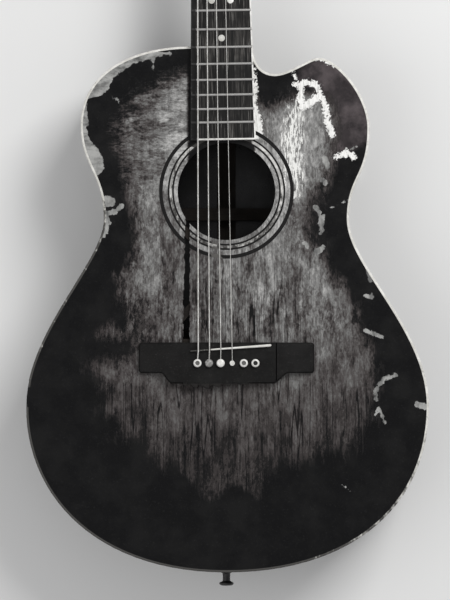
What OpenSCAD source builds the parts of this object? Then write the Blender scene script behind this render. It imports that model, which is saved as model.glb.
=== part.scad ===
// Flat-top acoustic guitar with a rounded cutaway, weathered and broken: the soundboard is
// split from the soundhole to the bridge, the bridge's rear edge is splintered, one bridge
// pin is snapped, a length of binding is gone and the two thinnest strings are missing.
// It lies on its flat back. X runs from the bass side to the treble side, Y from the tail
// to the head, and Z up from the back. The origin is on the back, under the soundhole's centre.

/* [Body] */
// Width across the lower bout
lower_bout_w = 387; // [340:1:420]
// Width across the waist
waist_w = 236; // [210:1:270]
// Width across the upper bout
upper_bout_w = 279; // [250:1:300]
// Distance from the soundhole's centre to the tail edge
tail_reach = 366; // [330:1:400]
// Distance from the soundhole's centre to the edge where the neck joins
neck_reach = 140; // [130:1:160]
// Body depth at the neck end
depth_neck = 98; // [80:1:115]
// Body depth at the tail end
depth_tail = 118; // [95:1:135]
// Soundboard thickness
top_t = 2.8; // [2:0.1:4]
// Back thickness
back_t = 2.8; // [2:0.1:4]
// Thickness of the bent sides, and width of the binding in front of their edges
side_t = 2.2; // [1.8:0.1:3]
// Height of the binding strips
binding_h = 6; // [4:0.5:8]
// Height of the lining strips from the plate they carry
lining_h = 14; // [10:1:18]
// Width of the lining strips
lining_w = 6.5; // [5:0.5:9]

/* [Soundhole] */
// Radius of the soundhole
hole_r = 47; // [42:0.5:52]
// Width of the split in the soundboard at the soundhole
split_top_w = 4.2; // [1:0.2:8]
// Width of the split in the soundboard at the bridge
split_low_w = 6.6; // [1:0.2:9]
// Depth of the inlaid rosette rings
rosette_t = 1.2; // [0.8:0.1:2]

/* [Neck] */
// String length from the nut to the saddle
scale_length = 650; // [610:1:670]
// Distance from the soundhole's centre back to the saddle
saddle_reach = 150.7; // [140:0.1:160]
// Angle by which the neck has pulled round towards the bass side
neck_skew = 0.9; // [0:0.1:1.5]
// Fingerboard width at the nut
board_w_nut = 46; // [42:0.5:52]
// Fingerboard width where the neck joins the body
board_w_joint = 59.5; // [54:0.5:62]
// Distance from the soundhole's centre to the fingerboard's end
board_end = 49.2; // [48.5:0.1:60]
// Fingerboard thickness
board_t = 6; // [5:0.5:8]
// Width of the fingerboard's edge binding
edge_w = 1.6; // [1:0.1:2.5]
// Number of frets
fret_count = 19; // [17:1:19]
// Neck depth behind the nut, without the fingerboard
neck_depth_nut = 15; // [13:0.5:18]
// Neck depth before the heel, without the fingerboard
neck_depth_heel = 18; // [16:0.5:21]

/* [Head] */
// Angle by which the head leans back
head_angle = 14; // [10:1:17]
// Length of the head
head_l = 172; // [165:1:190]
// Width of the head behind the nut
head_w0 = 54; // [50:1:58]
// Width of the head at its end
head_w1 = 72; // [66:1:80]
// Thickness of the head without its facing
head_t = 14; // [12:0.5:16]
// Thickness of the head's facing
facing_t = 1.6; // [1:0.1:2.5]

/* [Bridge] */
// Overall width of the bridge
bridge_w = 168.6; // [150:0.2:180]
// Height of the bridge over the soundboard
bridge_h = 8.8; // [7:0.2:10]
// Height of the saddle over the bridge
saddle_rise = 3; // [2:0.1:4.5]
// Distance between neighbouring bridge pins
pin_pitch = 11.1; // [10:0.1:11.5]
// Radius of a pin's hole
pin_hole_r = 2.6; // [2.4:0.05:3]

/* [Tuners] */
// Teeth on each tuner's gear
gear_teeth = 16; // [14:1:18]
// Distance between neighbouring tuners along the head
tuner_pitch = 41; // [38:0.5:44]
// Radius of a string post
post_r = 3; // [2.5:0.1:3.2]

/* [Hidden] */
tuner_n = 6;
string_n = 4;
function numbered(stem, n) = [for (i = [1:n]) str(stem, "_", i)];

black = [0.07, 0.07, 0.075];
worn_wood = [0.5, 0.5, 0.48];
raw_wood = [0.42, 0.38, 0.34];
cream = [0.85, 0.84, 0.8];
steel = [0.7, 0.7, 0.7];
bronze = [0.62, 0.58, 0.52];

big = 1200;              // larger than the whole guitar, for cutting blocks
slack = 0.05;            // what keeps round pieces from touching
saddle_y = -saddle_reach;
nut_y = saddle_y + scale_length;
nut_t = 5;
inset_lining = side_t + lining_w;

// ---------------------------------------------------------------- frames

// The soundboard leans with the body's taper. In this frame z = 0 is its face.
taper = atan((depth_tail - depth_neck) / (tail_reach + neck_reach));
top_z = depth_neck + neck_reach * tan(taper);
module on_top() translate([0, 0, top_z]) rotate([-taper, 0, 0]) children();

// The neck's own centre line turns about the saddle by the skew.
module on_neck() on_top() translate([0, saddle_y, 0]) rotate([0, 0, neck_skew])
    translate([0, -saddle_y, 0]) children();

// The head's face starts behind the nut and leans back.
head_y = nut_y + nut_t;
module on_head() on_neck() translate([0, head_y, 0]) rotate([-head_angle, 0, 0]) children();

// ---------------------------------------------------------------- body outline

outline_steps = 14;      // points along each curve of the outline
joint_bass = -34.5;      // where the neck's straight joint starts and ends
joint_treble = 25.5;

// One cubic curve between two points, each with its direction and the length of its handle.
function curve(p0, d0, h0, p1, d1, h1) = [for (i = [0:outline_steps - 1])
    let (t = i / outline_steps, a = p0 + h0 * d0, b = p1 - h1 * d1)
    pow(1 - t, 3) * p0 + 3 * pow(1 - t, 2) * t * a + 3 * (1 - t) * t * t * b + pow(t, 3) * p1];

left = [-1, 0];
right = [1, 0];
down = [0, -1];
up = [0, 1];
bass_shoulder = [joint_bass, neck_reach];
bass_upper = [-upper_bout_w / 2 - 1, 64];
bass_waist = [-waist_w / 2, -27];
bass_lower = [-lower_bout_w / 2 + 1, -206];
tail = [0, -tail_reach];
treble_lower = [lower_bout_w / 2 + 1, -206];
treble_waist = [waist_w / 2, -27];
treble_upper = [upper_bout_w / 2 - 1.5, 61];
horn_tip = [88.8, neck_reach - 10.9];
cutaway = [46.5, neck_reach - 26.5];
treble_shoulder = [joint_treble, neck_reach];

outline = concat([treble_shoulder],
    curve(bass_shoulder, left, 54, bass_upper, down, 53),
    curve(bass_upper, down, 40, bass_waist, down, 44),
    curve(bass_waist, down, 40, bass_lower, down, 71),
    curve(bass_lower, down, 90, tail, right, 122),
    curve(tail, right, 123, treble_lower, up, 94),
    curve(treble_lower, up, 73, treble_waist, up, 44),
    curve(treble_waist, up, 42, treble_upper, up, 48),
    curve(treble_upper, up, 32, horn_tip, left, 18),
    curve(horn_tip, left, 9, cutaway, left, 14),
    curve(cutaway, left, 12, treble_shoulder, up, 17));

function unit(v) = v / norm(v);
function left_of(v) = [-v[1], v[0]];

// The outline moved inwards by d, each corner along its mitre.
function inset(d) = let (n = len(outline)) [for (i = [0:n - 1])
    let (p = outline[i],
         a = left_of(unit(p - outline[(i + n - 1) % n])),
         b = left_of(unit(outline[(i + 1) % n] - p)))
    p + d * (a + b) / (1 + a * b)];

module body_face(d = 0) polygon(inset(d));
module body_ring(d0, d1) difference() {
    body_face(d0);
    body_face(d1);
}

// A wall that follows the outline, square to the soundboard, between two heights in its frame.
module wall(d0, d1, z0, z1) on_top() translate([0, 0, z0]) linear_extrude(z1 - z0) body_ring(d0, d1);

// A level layer of the row frame, for what lies parallel to the back.
module layer(z0, z1) translate([-big / 2, -big / 2, z0]) cube([big, big, z1 - z0]);
module half(side) translate([side < 0 ? -big : 0, -big / 2, -big / 2]) cube(big);

// ---------------------------------------------------------------- neck joint and blocks

tenon_w = 22;
tenon_l = 16;
tenon_depth = 62;
block_l = 52;
tail_block_l = 18;
joint_mid = (joint_bass + joint_treble) / 2;

module tenon(grow = 0) on_top() translate([joint_mid - tenon_w / 2 - grow, neck_reach - tenon_l - grow,
    -tenon_depth - grow]) cube([tenon_w + 2 * grow, tenon_l + 1 + grow, tenon_depth + grow]);

module neck_block_space() on_top() translate([joint_bass - 14, neck_reach - side_t - block_l, -big / 2])
    cube([joint_treble - joint_bass + 22, block_l + 30, big]);
module tail_block_space() on_top() translate([-42, -tail_reach - 10, -big / 2])
    cube([84, side_t + tail_block_l + 10, big]);

module block(space = 0) color(raw_wood) intersection() {
    on_top() translate([0, 0, -big / 2]) linear_extrude(big / 2 - top_t) body_face(side_t);
    layer(back_t, big / 2);
    children();
}
module neck_block() difference() {
    block() neck_block_space();
    tenon();
}
module tail_block() difference() {
    block() tail_block_space();
    end_pin_hole();
}

// ---------------------------------------------------------------- plates, sides and trim

// The split follows the grain from the soundhole to under the bridge, with one step in its edge.
split_x = -35.4;
split_y0 = -hole_r * 0.45;
split_y1 = saddle_y + 1.5;
module split() on_top() translate([0, 0, -30]) linear_extrude(40) polygon([
    [split_x + 0.4, split_y0], [split_x, -52], [split_x + 0.3, -96], [split_x - 0.1, split_y1],
    [split_x - split_low_w, split_y1], [split_x - split_low_w + 0.9, -118],
    [split_x - split_top_w - 1, -84], [split_x - split_top_w - 0.3, -50],
    [split_x - split_top_w, split_y0]]);

ring_edges = [0, 3.6, 5.3, 7.9, 9.6, 14.4, 17.9];  // of the rosette, outwards from the soundhole
module ring(i) difference() {
    cylinder(h = rosette_t, r = hole_r + ring_edges[i + 1], $fn = 96);
    translate([0, 0, -1]) cylinder(h = rosette_t + 2, r = hole_r + ring_edges[i], $fn = 96);
}
module in_top_face() on_top() translate([0, 0, -rosette_t]) children();

// The fingerboard covers the rosette's top, so the rings stop at its end.
module rosette_cut() on_neck() translate([-big / 2, board_end, -big / 2]) cube(big);
module rosette_dark_rings() color(black) for (i = [1, 3, 5]) difference() {
    in_top_face() ring(i);
    rosette_cut();
    split();
}
module rosette_pale_ring() color(cream) difference() {
    in_top_face() ring(2);
    rosette_cut();
    split();
}

module pin_holes() on_top() for (i = [0:5]) translate([pin_x(i), pin_y, -20])
    cylinder(h = 40, r = pin_hole_r, $fn = 32);

module soundboard() color(worn_wood) difference() {
    on_top() translate([0, 0, -top_t]) linear_extrude(top_t) body_face(side_t);
    on_top() translate([0, 0, -10]) cylinder(h = 20, r = hole_r, $fn = 96);
    for (i = [1, 2, 3, 5]) difference() {
        in_top_face() ring(i);
        rosette_cut();
    }
    split();
    pin_holes();
    tenon();
}

module back_plate() color(black) intersection() {
    on_top() translate([0, 0, -big / 2]) linear_extrude(big / 2) body_face(side_t);
    layer(0, back_t);
}

module side(which) color(black) difference() {
    intersection() {
        wall(0, side_t, -big / 4, -binding_h);
        layer(binding_h, big / 2);
        half(which);
    }
    tenon();
    end_pin_hole();
}
module bass_side() side(-1);
module treble_side() side(1);

// A length of the top binding is gone from the bass side of the lower bout.
gap_y = [-208, -188];
module top_binding() color(cream) difference() {
    wall(0, side_t, -binding_h, 0);
    tenon();
    on_top() translate([-lower_bout_w / 2 - 10, gap_y[0], -20]) cube([30, gap_y[1] - gap_y[0], 40]);
}
module back_binding() color(cream) intersection() {
    wall(0, side_t, -big / 4, 0);
    layer(0, binding_h);
}

module top_lining() color(raw_wood) difference() {
    wall(side_t, inset_lining, -top_t - lining_h, -top_t);
    neck_block_space();
    tail_block_space();
}
module back_lining() color(raw_wood) difference() {
    intersection() {
        wall(side_t, inset_lining, -big / 4, -20);
        layer(back_t, back_t + lining_h);
    }
    neck_block_space();
    tail_block_space();
}

// ---------------------------------------------------------------- bracing

// A bar glued on edge under the soundboard, its two ends sloping down to thin tips.
module bar(from, to, w, h, tip = 3) {
    l = norm(to - from);
    a = atan2(to[1] - from[1], to[0] - from[0]);
    slope = min(h * 3, l / 3);
    on_top() translate([from[0], from[1], -top_t]) rotate([0, 0, a]) translate([0, w / 2, 0])
        rotate([90, 0, 0]) linear_extrude(w)
        polygon([[0, 0], [0, -tip], [slope, -h], [l - slope, -h], [l, -tip], [l, 0]]);
}
x_centre = [0, -78];
x_w = 8;
x_h = 14;
x_low = 150;
x_high = 96;
module x_lap(z0) on_top() translate([x_centre[0], x_centre[1], 0]) rotate([0, 0, 45])
    translate([-x_w, -x_w, z0]) cube([2 * x_w, 2 * x_w, x_h]);
module x_brace_bass() color(raw_wood) difference() {
    bar(x_centre + [x_low, -x_low], x_centre + [-x_high, x_high], x_w, x_h);
    x_crossing(-top_t - x_h / 2, 1);
}
module x_brace_treble() color(raw_wood) difference() {
    bar(x_centre + [-x_low, -x_low], x_centre + [x_high, x_high], x_w, x_h);
    x_crossing(-top_t - x_h / 2 - big, -1);
}
// The half lap where the two legs of the X cross: each takes the other's width.
module x_crossing(z0, turn) on_top() translate([x_centre[0], x_centre[1], z0])
    rotate([0, 0, turn * 45]) translate([-x_w * 2, -x_w / 2, 0]) cube([x_w * 4, x_w, big]);

module tone_bars() color(raw_wood) {
    bar([-98, -204], [120, -262], 7, 12);
    bar([-112, -250], [92, -312], 7, 12);
}
module finger_braces() color(raw_wood) for (s = [-1, 1]) {
    bar([s * 64, -84], [s * 124, -80], 6, 8);
    bar([s * 84, -120], [s * 148, -136], 6, 8);
}
module upper_brace() color(raw_wood) bar([-125, 70], [123, 70], 12, 14);
module soundhole_braces() color(raw_wood) for (s = [-1, 1]) bar([s * 58, -4], [s * 58, 62], 6, 8);

plate_t = 2.5;
module bridge_plate() color(raw_wood) difference() {
    on_top() translate([-52, -188, -top_t - plate_t]) cube([104, 46, plate_t]);
    pin_holes();
}

brace_h = 15;
back_brace_y = [72, -20, -140, -262];
module back_braces() color(raw_wood) for (y = back_brace_y) intersection() {
    on_top() translate([0, 0, -big / 2]) linear_extrude(big / 2) body_face(inset_lining);
    translate([-big / 2, y - 6, back_t]) cube([big, 12, brace_h]);
}
module back_strip() color(raw_wood) difference() {
    translate([-9, -tail_reach, back_t]) cube([18, tail_reach + neck_reach, 2]);
    for (y = back_brace_y) translate([-20, y - 6, 0]) cube([40, 12, 30]);
    neck_block_space();
    tail_block_space();
}

// ---------------------------------------------------------------- end pin

end_pin_drop = 60;       // from the soundboard's plane to its axis
module end_pin_axis() on_top() translate([0, -tail_reach, -end_pin_drop]) rotate([90, 0, 0]) children();
module end_pin_hole() end_pin_axis() translate([0, 0, -40]) cylinder(h = 60, r = 4.5, $fn = 32);
module end_pin() color(black) end_pin_axis() rotate_extrude($fn = 48) polygon([
    [0, -20], [4.4, -20], [4.4, 0.1], [7.4, 0.1], [7.4, 1.8], [3.6, 3.6], [3.6, 10.5],
    [6.6, 12], [7, 13.4], [5.6, 15], [0, 15.4]]);

// ---------------------------------------------------------------- bridge, saddle and pins

pin_y = -165.6;
function pin_x(i) = (i - 2.5) * pin_pitch;

bridge_front = saddle_y + 5;
wing_rear = -175;
belly_rear = -185;
corner = 2;
// The belly's rear edge has torn out in splinters towards the tail.
splinters = [[-42, belly_rear], [-39.7, -187.8], [-36, -185.4], [-28.7, -189.6], [-26.5, -185.8],
    [-18.2, -190.4], [-15.6, -186], [-7.2, -189], [-4.2, -185.6], [2.8, -187.8], [5.5, -185.2],
    [19, -186.2], [21, belly_rear]];
// A quarter of the scoop between wing and belly: a sine between two points.
function scoop(p, q) = [for (i = [1:7]) let (t = i / 8) [p[0] + (q[0] - p[0]) * t,
    p[1] + (q[1] - p[1]) * (1 - cos(180 * t)) / 2]];
module bridge_outline() {
    w = bridge_w / 2;
    a = [-w + 21, wing_rear];
    b = [-52.5, belly_rear];
    c = [44.5, belly_rear];
    d = [w - 24, wing_rear];
    polygon(concat([[-w, bridge_front - corner], [-w, wing_rear + corner], [-w + corner, wing_rear], a],
        scoop(a, b), [b], splinters, [c], scoop(c, d),
        [d, [w - corner, wing_rear], [w, wing_rear + corner], [w, bridge_front - corner],
         [w - corner, bridge_front], [-w + corner, bridge_front]]));
}
wing_tip_h = 4.6;
wing_x = 52;             // where the wings start to thin
module bridge_side_view() {
    w = bridge_w / 2 + 1;
    polygon(concat([[-w, 0], [w, 0], [w, wing_tip_h]],
        [for (i = [0:8]) let (t = i / 8) [w - (w - wing_x) * t,
            wing_tip_h + (bridge_h - wing_tip_h) * (1 - cos(180 * t)) / 2]],
        [for (i = [0:8]) let (t = i / 8) [-wing_x - (w - wing_x) * t,
            bridge_h - (bridge_h - wing_tip_h) * (1 - cos(180 * t)) / 2]],
        [[-w, wing_tip_h]]));
}
module bridge() color(black) difference() {
    intersection() {
        on_top() linear_extrude(bridge_h + 1) bridge_outline();
        on_top() translate([0, -100, 0]) rotate([90, 0, 0]) linear_extrude(120) bridge_side_view();
    }
    pin_holes();
    saddle_shape(-saddle_slot);
    // a crack through the glue line by the treble wing
    on_top() translate([47.4, -180, bridge_h - 2.2]) cube([0.7, 34, 4]);
    // the notches that let the strings out of their holes
    on_top() for (i = [0:string_n - 1])
        translate([pin_x(i) - gauge(i) / 2 - 0.2, pin_y, bridge_h - 1.4]) cube([gauge(i) + 0.4, 4.6, 3]);
}

// The saddle slants to sound in tune, and its bass end has worn to a sliver.
saddle_slot = 4.5;       // how deep its slot goes into the bridge
saddle_ends = [[-34.5, saddle_y - 3.4], [41.8, saddle_y + 2.1]];
saddle_w = [1.2, 2.5];
function saddle_line(x) = saddle_ends[0][1] + (x - saddle_ends[0][0])
    * (saddle_ends[1][1] - saddle_ends[0][1]) / (saddle_ends[1][0] - saddle_ends[0][0]);
function saddle_half(x) = (saddle_w[0] + (saddle_w[1] - saddle_w[0]) * (x - saddle_ends[0][0])
    / (saddle_ends[1][0] - saddle_ends[0][0])) / 2;
module saddle_shape(low) on_top() translate([0, 0, bridge_h + low])
    linear_extrude(saddle_rise - low) {
    polygon([saddle_ends[0] + [0, saddle_w[0] / 2], saddle_ends[0] - [0, saddle_w[0] / 2],
        saddle_ends[1] - [0, saddle_w[1] / 2], saddle_ends[1] + [0, saddle_w[1] / 2]]);
    translate(saddle_ends[1]) circle(r = saddle_w[1] / 2, $fn = 24);
}
module saddle() color(cream) saddle_shape(-saddle_slot);

pin_r = pin_hole_r - 0.15;
pin_head_r = 3.9;
pin_stand = 1.7;         // how far the head's underside stands over the bridge
pin_tip = -11;
run_offset = 1.75;       // of the string's upright run, from its pin's axis towards the saddle
ball_r = 2;
ball_l = 4;
ball_offset = 2.6;
ball_z = -top_t - plate_t - slack - ball_l;
module pin(i) on_top() translate([pin_x(i), pin_y, 0]) difference() {
    rotate_extrude($fn = 32) polygon(i == 3
        ? [[0, pin_tip], [1.5, pin_tip], [pin_r, pin_tip + 3], [pin_r, bridge_h + 0.9], [0, bridge_h + 0.9]]
        : [[0, pin_tip], [1.5, pin_tip], [pin_r, pin_tip + 3], [pin_r, bridge_h + pin_stand],
           [pin_head_r, bridge_h + pin_stand + 0.4], [pin_head_r, bridge_h + pin_stand + 1.3],
           [pin_head_r - 1.4, bridge_h + pin_stand + 2.4], [0, bridge_h + pin_stand + 2.7]]);
    if (i < string_n) {
        flute_r = gauge(i) / 2 + 0.15;
        translate([0, run_offset, pin_tip - 1])
            cylinder(h = bridge_h + pin_stand - pin_tip + 1, r = flute_r, $fn = 24);
        translate([-flute_r, run_offset, pin_tip - 1])
            cube([2 * flute_r, 2, bridge_h + pin_stand - pin_tip + 1]);
        translate([0, run_offset, pin_tip - 1])
            cylinder(h = ball_z + ball_l - pin_tip + 1 + 3 * slack, r = ball_r + 1, $fn = 24);
    }
}
module bridge_pins() color(cream) for (i = [0:5]) pin(i);

// ---------------------------------------------------------------- neck, fingerboard and nut

function board_w(y) = board_w_nut + (board_w_joint - board_w_nut) * (nut_y - y) / (nut_y - neck_reach);

// A D-shaped section of the neck: half an ellipse hanging from the fingerboard's plane.
module neck_section(y, depth) translate([0, y, 0]) rotate([90, 0, 0]) linear_extrude(0.2)
    intersection() {
        scale([board_w(y) / 2, depth]) circle(r = 1, $fn = 32);
        translate([-50, -big]) square([100, big]);
    }
heel_sections = [[neck_reach - 1, 102], [neck_reach + 17, 100], [neck_reach + 23, 66],
    [neck_reach + 33, 38], [neck_reach + 50, 24], [neck_reach + 76, neck_depth_heel]];
module neck_shaft() {
    for (i = [0:len(heel_sections) - 2]) hull() {
        neck_section(heel_sections[i][0], heel_sections[i][1]);
        neck_section(heel_sections[i + 1][0], heel_sections[i + 1][1]);
    }
    hull() {
        neck_section(heel_sections[5][0], neck_depth_heel);
        neck_section(head_y + 2, neck_depth_nut);
    }
}

// The head is a plain paddle with rounded shoulders and a shallow arched end.
module head_outline() {
    shoulder = 12;
    polygon(concat([[-board_w(head_y) / 2, -8], [board_w(head_y) / 2, -8], [board_w(head_y) / 2, 2]],
        [for (i = [1:6]) let (t = i / 6) [board_w(head_y) / 2 + (head_w0 - board_w(head_y)) / 2 * sin(90 * t),
            2 + shoulder * (1 - cos(90 * t))]],
        [for (i = [-8:8]) let (t = -i / 8) [head_w1 / 2 * t, head_l + 6 * cos(90 * t) - 6]],
        [for (i = [6:-1:1]) let (t = i / 6) [-board_w(head_y) / 2 - (head_w0 - board_w(head_y)) / 2 * sin(90 * t),
            2 + shoulder * (1 - cos(90 * t))]],
        [[-board_w(head_y) / 2, 2]]));
}

cap_z = [1, 4];          // of the heel cap, over the back's plane
module behind_joint() on_top() translate([-big / 2, neck_reach - big, -big / 2]) cube(big);

rod_w = 6;
rod_h = 9;
rod_ends = [neck_reach + 8, head_y + 6];
module rod_channel() on_neck() translate([-rod_w / 2 - 0.1, rod_ends[0] - 0.1, -rod_h])
    cube([rod_w + 0.2, rod_ends[1] - rod_ends[0] + 14, rod_h + 1]);
module truss_rod() color(steel) on_neck() {
    translate([-rod_w / 2, rod_ends[0], -rod_h]) cube([rod_w, head_y - 6 - rod_ends[0], rod_h - 0.5]);
    translate([0, head_y - 7, -rod_h / 2 - 0.2]) rotate([-90, 0, 0]) cylinder(h = 8, r = 2.5, $fn = 24);
    translate([0, head_y + 1, -rod_h / 2 - 0.2]) rotate([-90, 0, 0]) cylinder(h = 7, r = 3, $fn = 6);
}

module neck() color(black) difference() {
    union() {
        difference() {
            on_neck() neck_shaft();
            behind_joint();
            layer(-big / 2, cap_z[1]);
            on_head() translate([-50, 0, 0]) cube([100, 60, 40]);
        }
        tenon();
        difference() {
            on_head() translate([0, 0, -head_t]) linear_extrude(head_t) head_outline();
            on_neck() translate([-50, head_y - 40, 0]) cube([100, 60, 20]);
        }
    }
    rod_channel();
    on_head() for (i = [0:tuner_n - 1]) translate([tuner_at(i)[0], tuner_at(i)[1], -head_t - 1])
        cylinder(h = head_t + 2, r = bushing_r, $fn = 32);
}
module heel_cap() color(cream) intersection() {
    difference() {
        on_neck() hull() {
            neck_section(heel_sections[0][0], heel_sections[0][1]);
            neck_section(heel_sections[1][0], heel_sections[1][1]);
        }
        behind_joint();
    }
    layer(cap_z[0], cap_z[1]);
}

// The fingerboard's outline, trimmed at its sides and end, and carried on past the nut by `over`.
module board_shape(trim, over = 0) polygon([
    [-board_w(board_end) / 2 + trim, board_end + trim], [board_w(board_end) / 2 - trim, board_end + trim],
    [board_w(nut_y + over) / 2 - trim, nut_y + over], [-board_w(nut_y + over) / 2 + trim, nut_y + over]]);

fret_w = 2.4;
fret_h = 1.1;
tang_w = 0.6;
tang_h = 2;
function fret_y(n) = saddle_y + scale_length * pow(2, -n / 12);
module fret_slot(n) translate([-board_w(fret_y(n)) / 2 + edge_w, fret_y(n) - tang_w / 2, board_t - tang_h])
    cube([board_w(fret_y(n)) - 2 * edge_w, tang_w, tang_h + 1]);

dot_r = 3.2;
dot_t = 1.5;
dots = [[3, 0], [5, 0], [7, 0], [9, 0], [12, -9], [12, 9], [14, 0]];  // fret, and sideways place
module dot(d, grow = 0) translate([d[1], (fret_y(d[0]) + fret_y(d[0] - 1)) / 2, board_t - dot_t])
    cylinder(h = dot_t + grow, r = dot_r, $fn = 32);

module fingerboard() color(black) on_neck() difference() {
    linear_extrude(board_t) board_shape(edge_w);
    for (n = [1:fret_count]) fret_slot(n);
    for (d = dots) dot(d, 1);
}
module fingerboard_binding() color(cream) on_neck() linear_extrude(board_t) difference() {
    board_shape(0);
    board_shape(edge_w, 1);
}
module frets() color(steel) on_neck() for (n = [1:fret_count]) translate([0, fret_y(n), board_t]) {
    w = board_w(fret_y(n)) - 0.8;
    rotate([90, 0, 90]) translate([0, 0, -w / 2]) linear_extrude(w) intersection() {
        translate([0, fret_h - 1.3]) circle(r = 1.3, $fn = 32);
        translate([-fret_w / 2, 0]) square([fret_w, 3]);
    }
    translate([-board_w(fret_y(n)) / 2 + edge_w, -tang_w / 2, -tang_h])
        cube([board_w(fret_y(n)) - 2 * edge_w, tang_w, tang_h + 0.3]);
}
module position_dots() color(cream) on_neck() for (d = dots) dot(d);

nut_h = 8.9;
nut_string_z = 7.9;      // of the strings' centre lines over the soundboard's plane, at the nut
nut_spread = 36;
function nut_x(i) = (i - 2.5) * nut_spread / 5;
module nut() color(cream) on_neck() difference() {
    translate([-board_w_nut / 2, nut_y, 0]) cube([board_w_nut, nut_t, nut_h]);
    for (i = [0:5]) translate([nut_x(i), nut_y - 1, nut_string_z]) {
        r = (i < string_n ? gauge(i) : 0.5) / 2 + 0.02;
        rotate([-90, 0, 0]) cylinder(h = nut_t + 2, r = r, $fn = 24);
        translate([-r, 0, 0]) cube([2 * r, nut_t + 2, 3]);
    }
}

// ---------------------------------------------------------------- head and tuners

cover = [24, 30];        // of the truss rod cover: width at the nut, and length
module pocket() on_head() translate([-rod_w / 2 - 2.2, -1, -3]) cube([rod_w + 4.4, cover[1] - 9, 8]);
module head_facing() color(black) on_head() difference() {
    linear_extrude(facing_t) difference() {
        head_outline();
        translate([-50, -20]) square([100, 20.6]);
    }
    for (i = [0:tuner_n - 1]) translate([tuner_at(i)[0], tuner_at(i)[1], -1])
        cylinder(h = 5, r = bushing_r, $fn = 32);
    translate([-rod_w / 2 - 2, -1, -1]) cube([rod_w + 4, cover[1] - 9, 5]);
    for (s = cover_screw_at) translate([s[0], s[1], -1]) cylinder(h = 5, r = 0.9, $fn = 24);
}
cover_t = 1.8;
cover_screw_at = [[-8, 4.6], [8, 4.6], [0, 25]];
module truss_rod_cover() color(black) on_head() translate([0, 0, facing_t]) difference() {
    linear_extrude(cover_t) polygon([[-cover[0] / 2, 1.6], [cover[0] / 2, 1.6], [cover[0] / 2, 9],
        [4.5, cover[1]], [-4.5, cover[1]], [-cover[0] / 2, 9]]);
    for (s = cover_screw_at) translate([s[0], s[1], -1]) cylinder(h = 5, r = 0.9, $fn = 24);
}
module cover_screws() color(steel) on_head() for (s = cover_screw_at)
    translate([s[0], s[1], facing_t + cover_t]) screw(2, 0.85, 1, cover_t + facing_t - 0.1);

// A round-headed screw standing on z = 0, its shank going down.
module screw(head_r, shank_r, head_h, l) rotate_extrude($fn = 24) polygon([[0, -l], [shank_r, -l],
    [shank_r, 0], [head_r, 0], [head_r, head_h * 0.4], [head_r * 0.6, head_h], [0, head_h]]);

bushing_r = 4.6;
tuner_y0 = 38;
function tuner_row(i) = i < 3 ? i : 5 - i;
function tuner_side(i) = i < 3 ? -1 : 1;
function tuner_at(i) = let (y = tuner_y0 + tuner_row(i) * tuner_pitch)
    [tuner_side(i) * (19 + 0.04 * y), y];
// Each tuner is built for the treble side, from the back of the head, and mirrored to the bass.
module at_tuner(i) on_head() translate([tuner_at(i)[0], tuner_at(i)[1], -head_t])
    mirror([tuner_side(i) < 0 ? 1 : 0, 0, 0]) children();

gear_module = 0.64;
gear_pitch_r = gear_module * gear_teeth / 2;
gear_tip_r = gear_pitch_r + 0.55;
gear_root_r = gear_pitch_r - 0.75;
gear_t = 3;
worm_core_r = 1.8;
worm_pitch_r = 2.6;
worm_y = -gear_pitch_r - worm_pitch_r;
worm_z = -4.5;
ear_x = [4.6, 6.1];
shaft_r = 1.5;
plate_th = 1;
post_top = head_t + facing_t + 13;

module gear_outline() polygon([for (k = [0:gear_teeth - 1]) for (c = [[-0.3, 0], [-0.15, 1], [0.15, 1], [0.3, 0]])
    let (a = 360 / gear_teeth * (k + c[0]) + 90, r = c[1] == 1 ? gear_tip_r : gear_root_r) r * [cos(a), sin(a)]]);

module tuner_plates() color(steel) for (i = [0:tuner_n - 1]) at_tuner(i) difference() {
    union() {
        translate([-7.5, worm_y - 4, -plate_th]) cube([15, -worm_y + 12.5, plate_th]);
        for (s = [-1, 1]) translate([s > 0 ? ear_x[0] : -ear_x[1], worm_y - 3, worm_z - 2.8])
            cube([ear_x[1] - ear_x[0], 5.6, -worm_z + 2.8]);
    }
    translate([0, 0, -5]) cylinder(h = 10, r = post_r + 0.15, $fn = 32);
    translate([-10, worm_y, worm_z]) rotate([0, 90, 0]) cylinder(h = 20, r = shaft_r + slack, $fn = 32);
    for (p = screw_at) translate([p[0], p[1], -5]) cylinder(h = 10, r = 1.05, $fn = 24);
}
screw_at = [[-5, 6.4], [5, 6.4]];
module tuner_screws() color(steel) for (i = [0:tuner_n - 1]) at_tuner(i) for (p = screw_at)
    translate([p[0], p[1], -plate_th]) rotate([180, 0, 0]) screw(1.9, 1, 1.1, plate_th);
module tuner_bushings() color(steel) for (i = [0:tuner_n - 1]) at_tuner(i) translate([0, 0, head_t + facing_t])
    rotate_extrude($fn = 48) polygon([[post_r + slack, -9], [bushing_r, -9], [bushing_r, 0], [6.2, 0],
        [6.2, 1], [4.6, 2], [post_r + slack, 2]]);

// A post is turned in one piece with the screw end that holds its gear.
module tuner_post(i) color(bronze) at_tuner(i) difference() {
    union() {
        translate([0, 0, worm_z]) cylinder(h = post_top - worm_z, r = post_r, $fn = 32);
        translate([0, 0, worm_z - gear_t / 2]) linear_extrude(gear_t) gear_outline();
        translate([0, 0, worm_z - gear_t / 2 - 1.2]) cylinder(h = 1.3, r = 2.6, $fn = 32);
    }
    translate([0, 0, post_top - 3.2]) rotate([90, 0, 0]) cylinder(h = 20, r = 0.9, center = true, $fn = 24);
}

button_r = 8.5;
button_x = 21.5;
button_t = 6.4;
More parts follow.
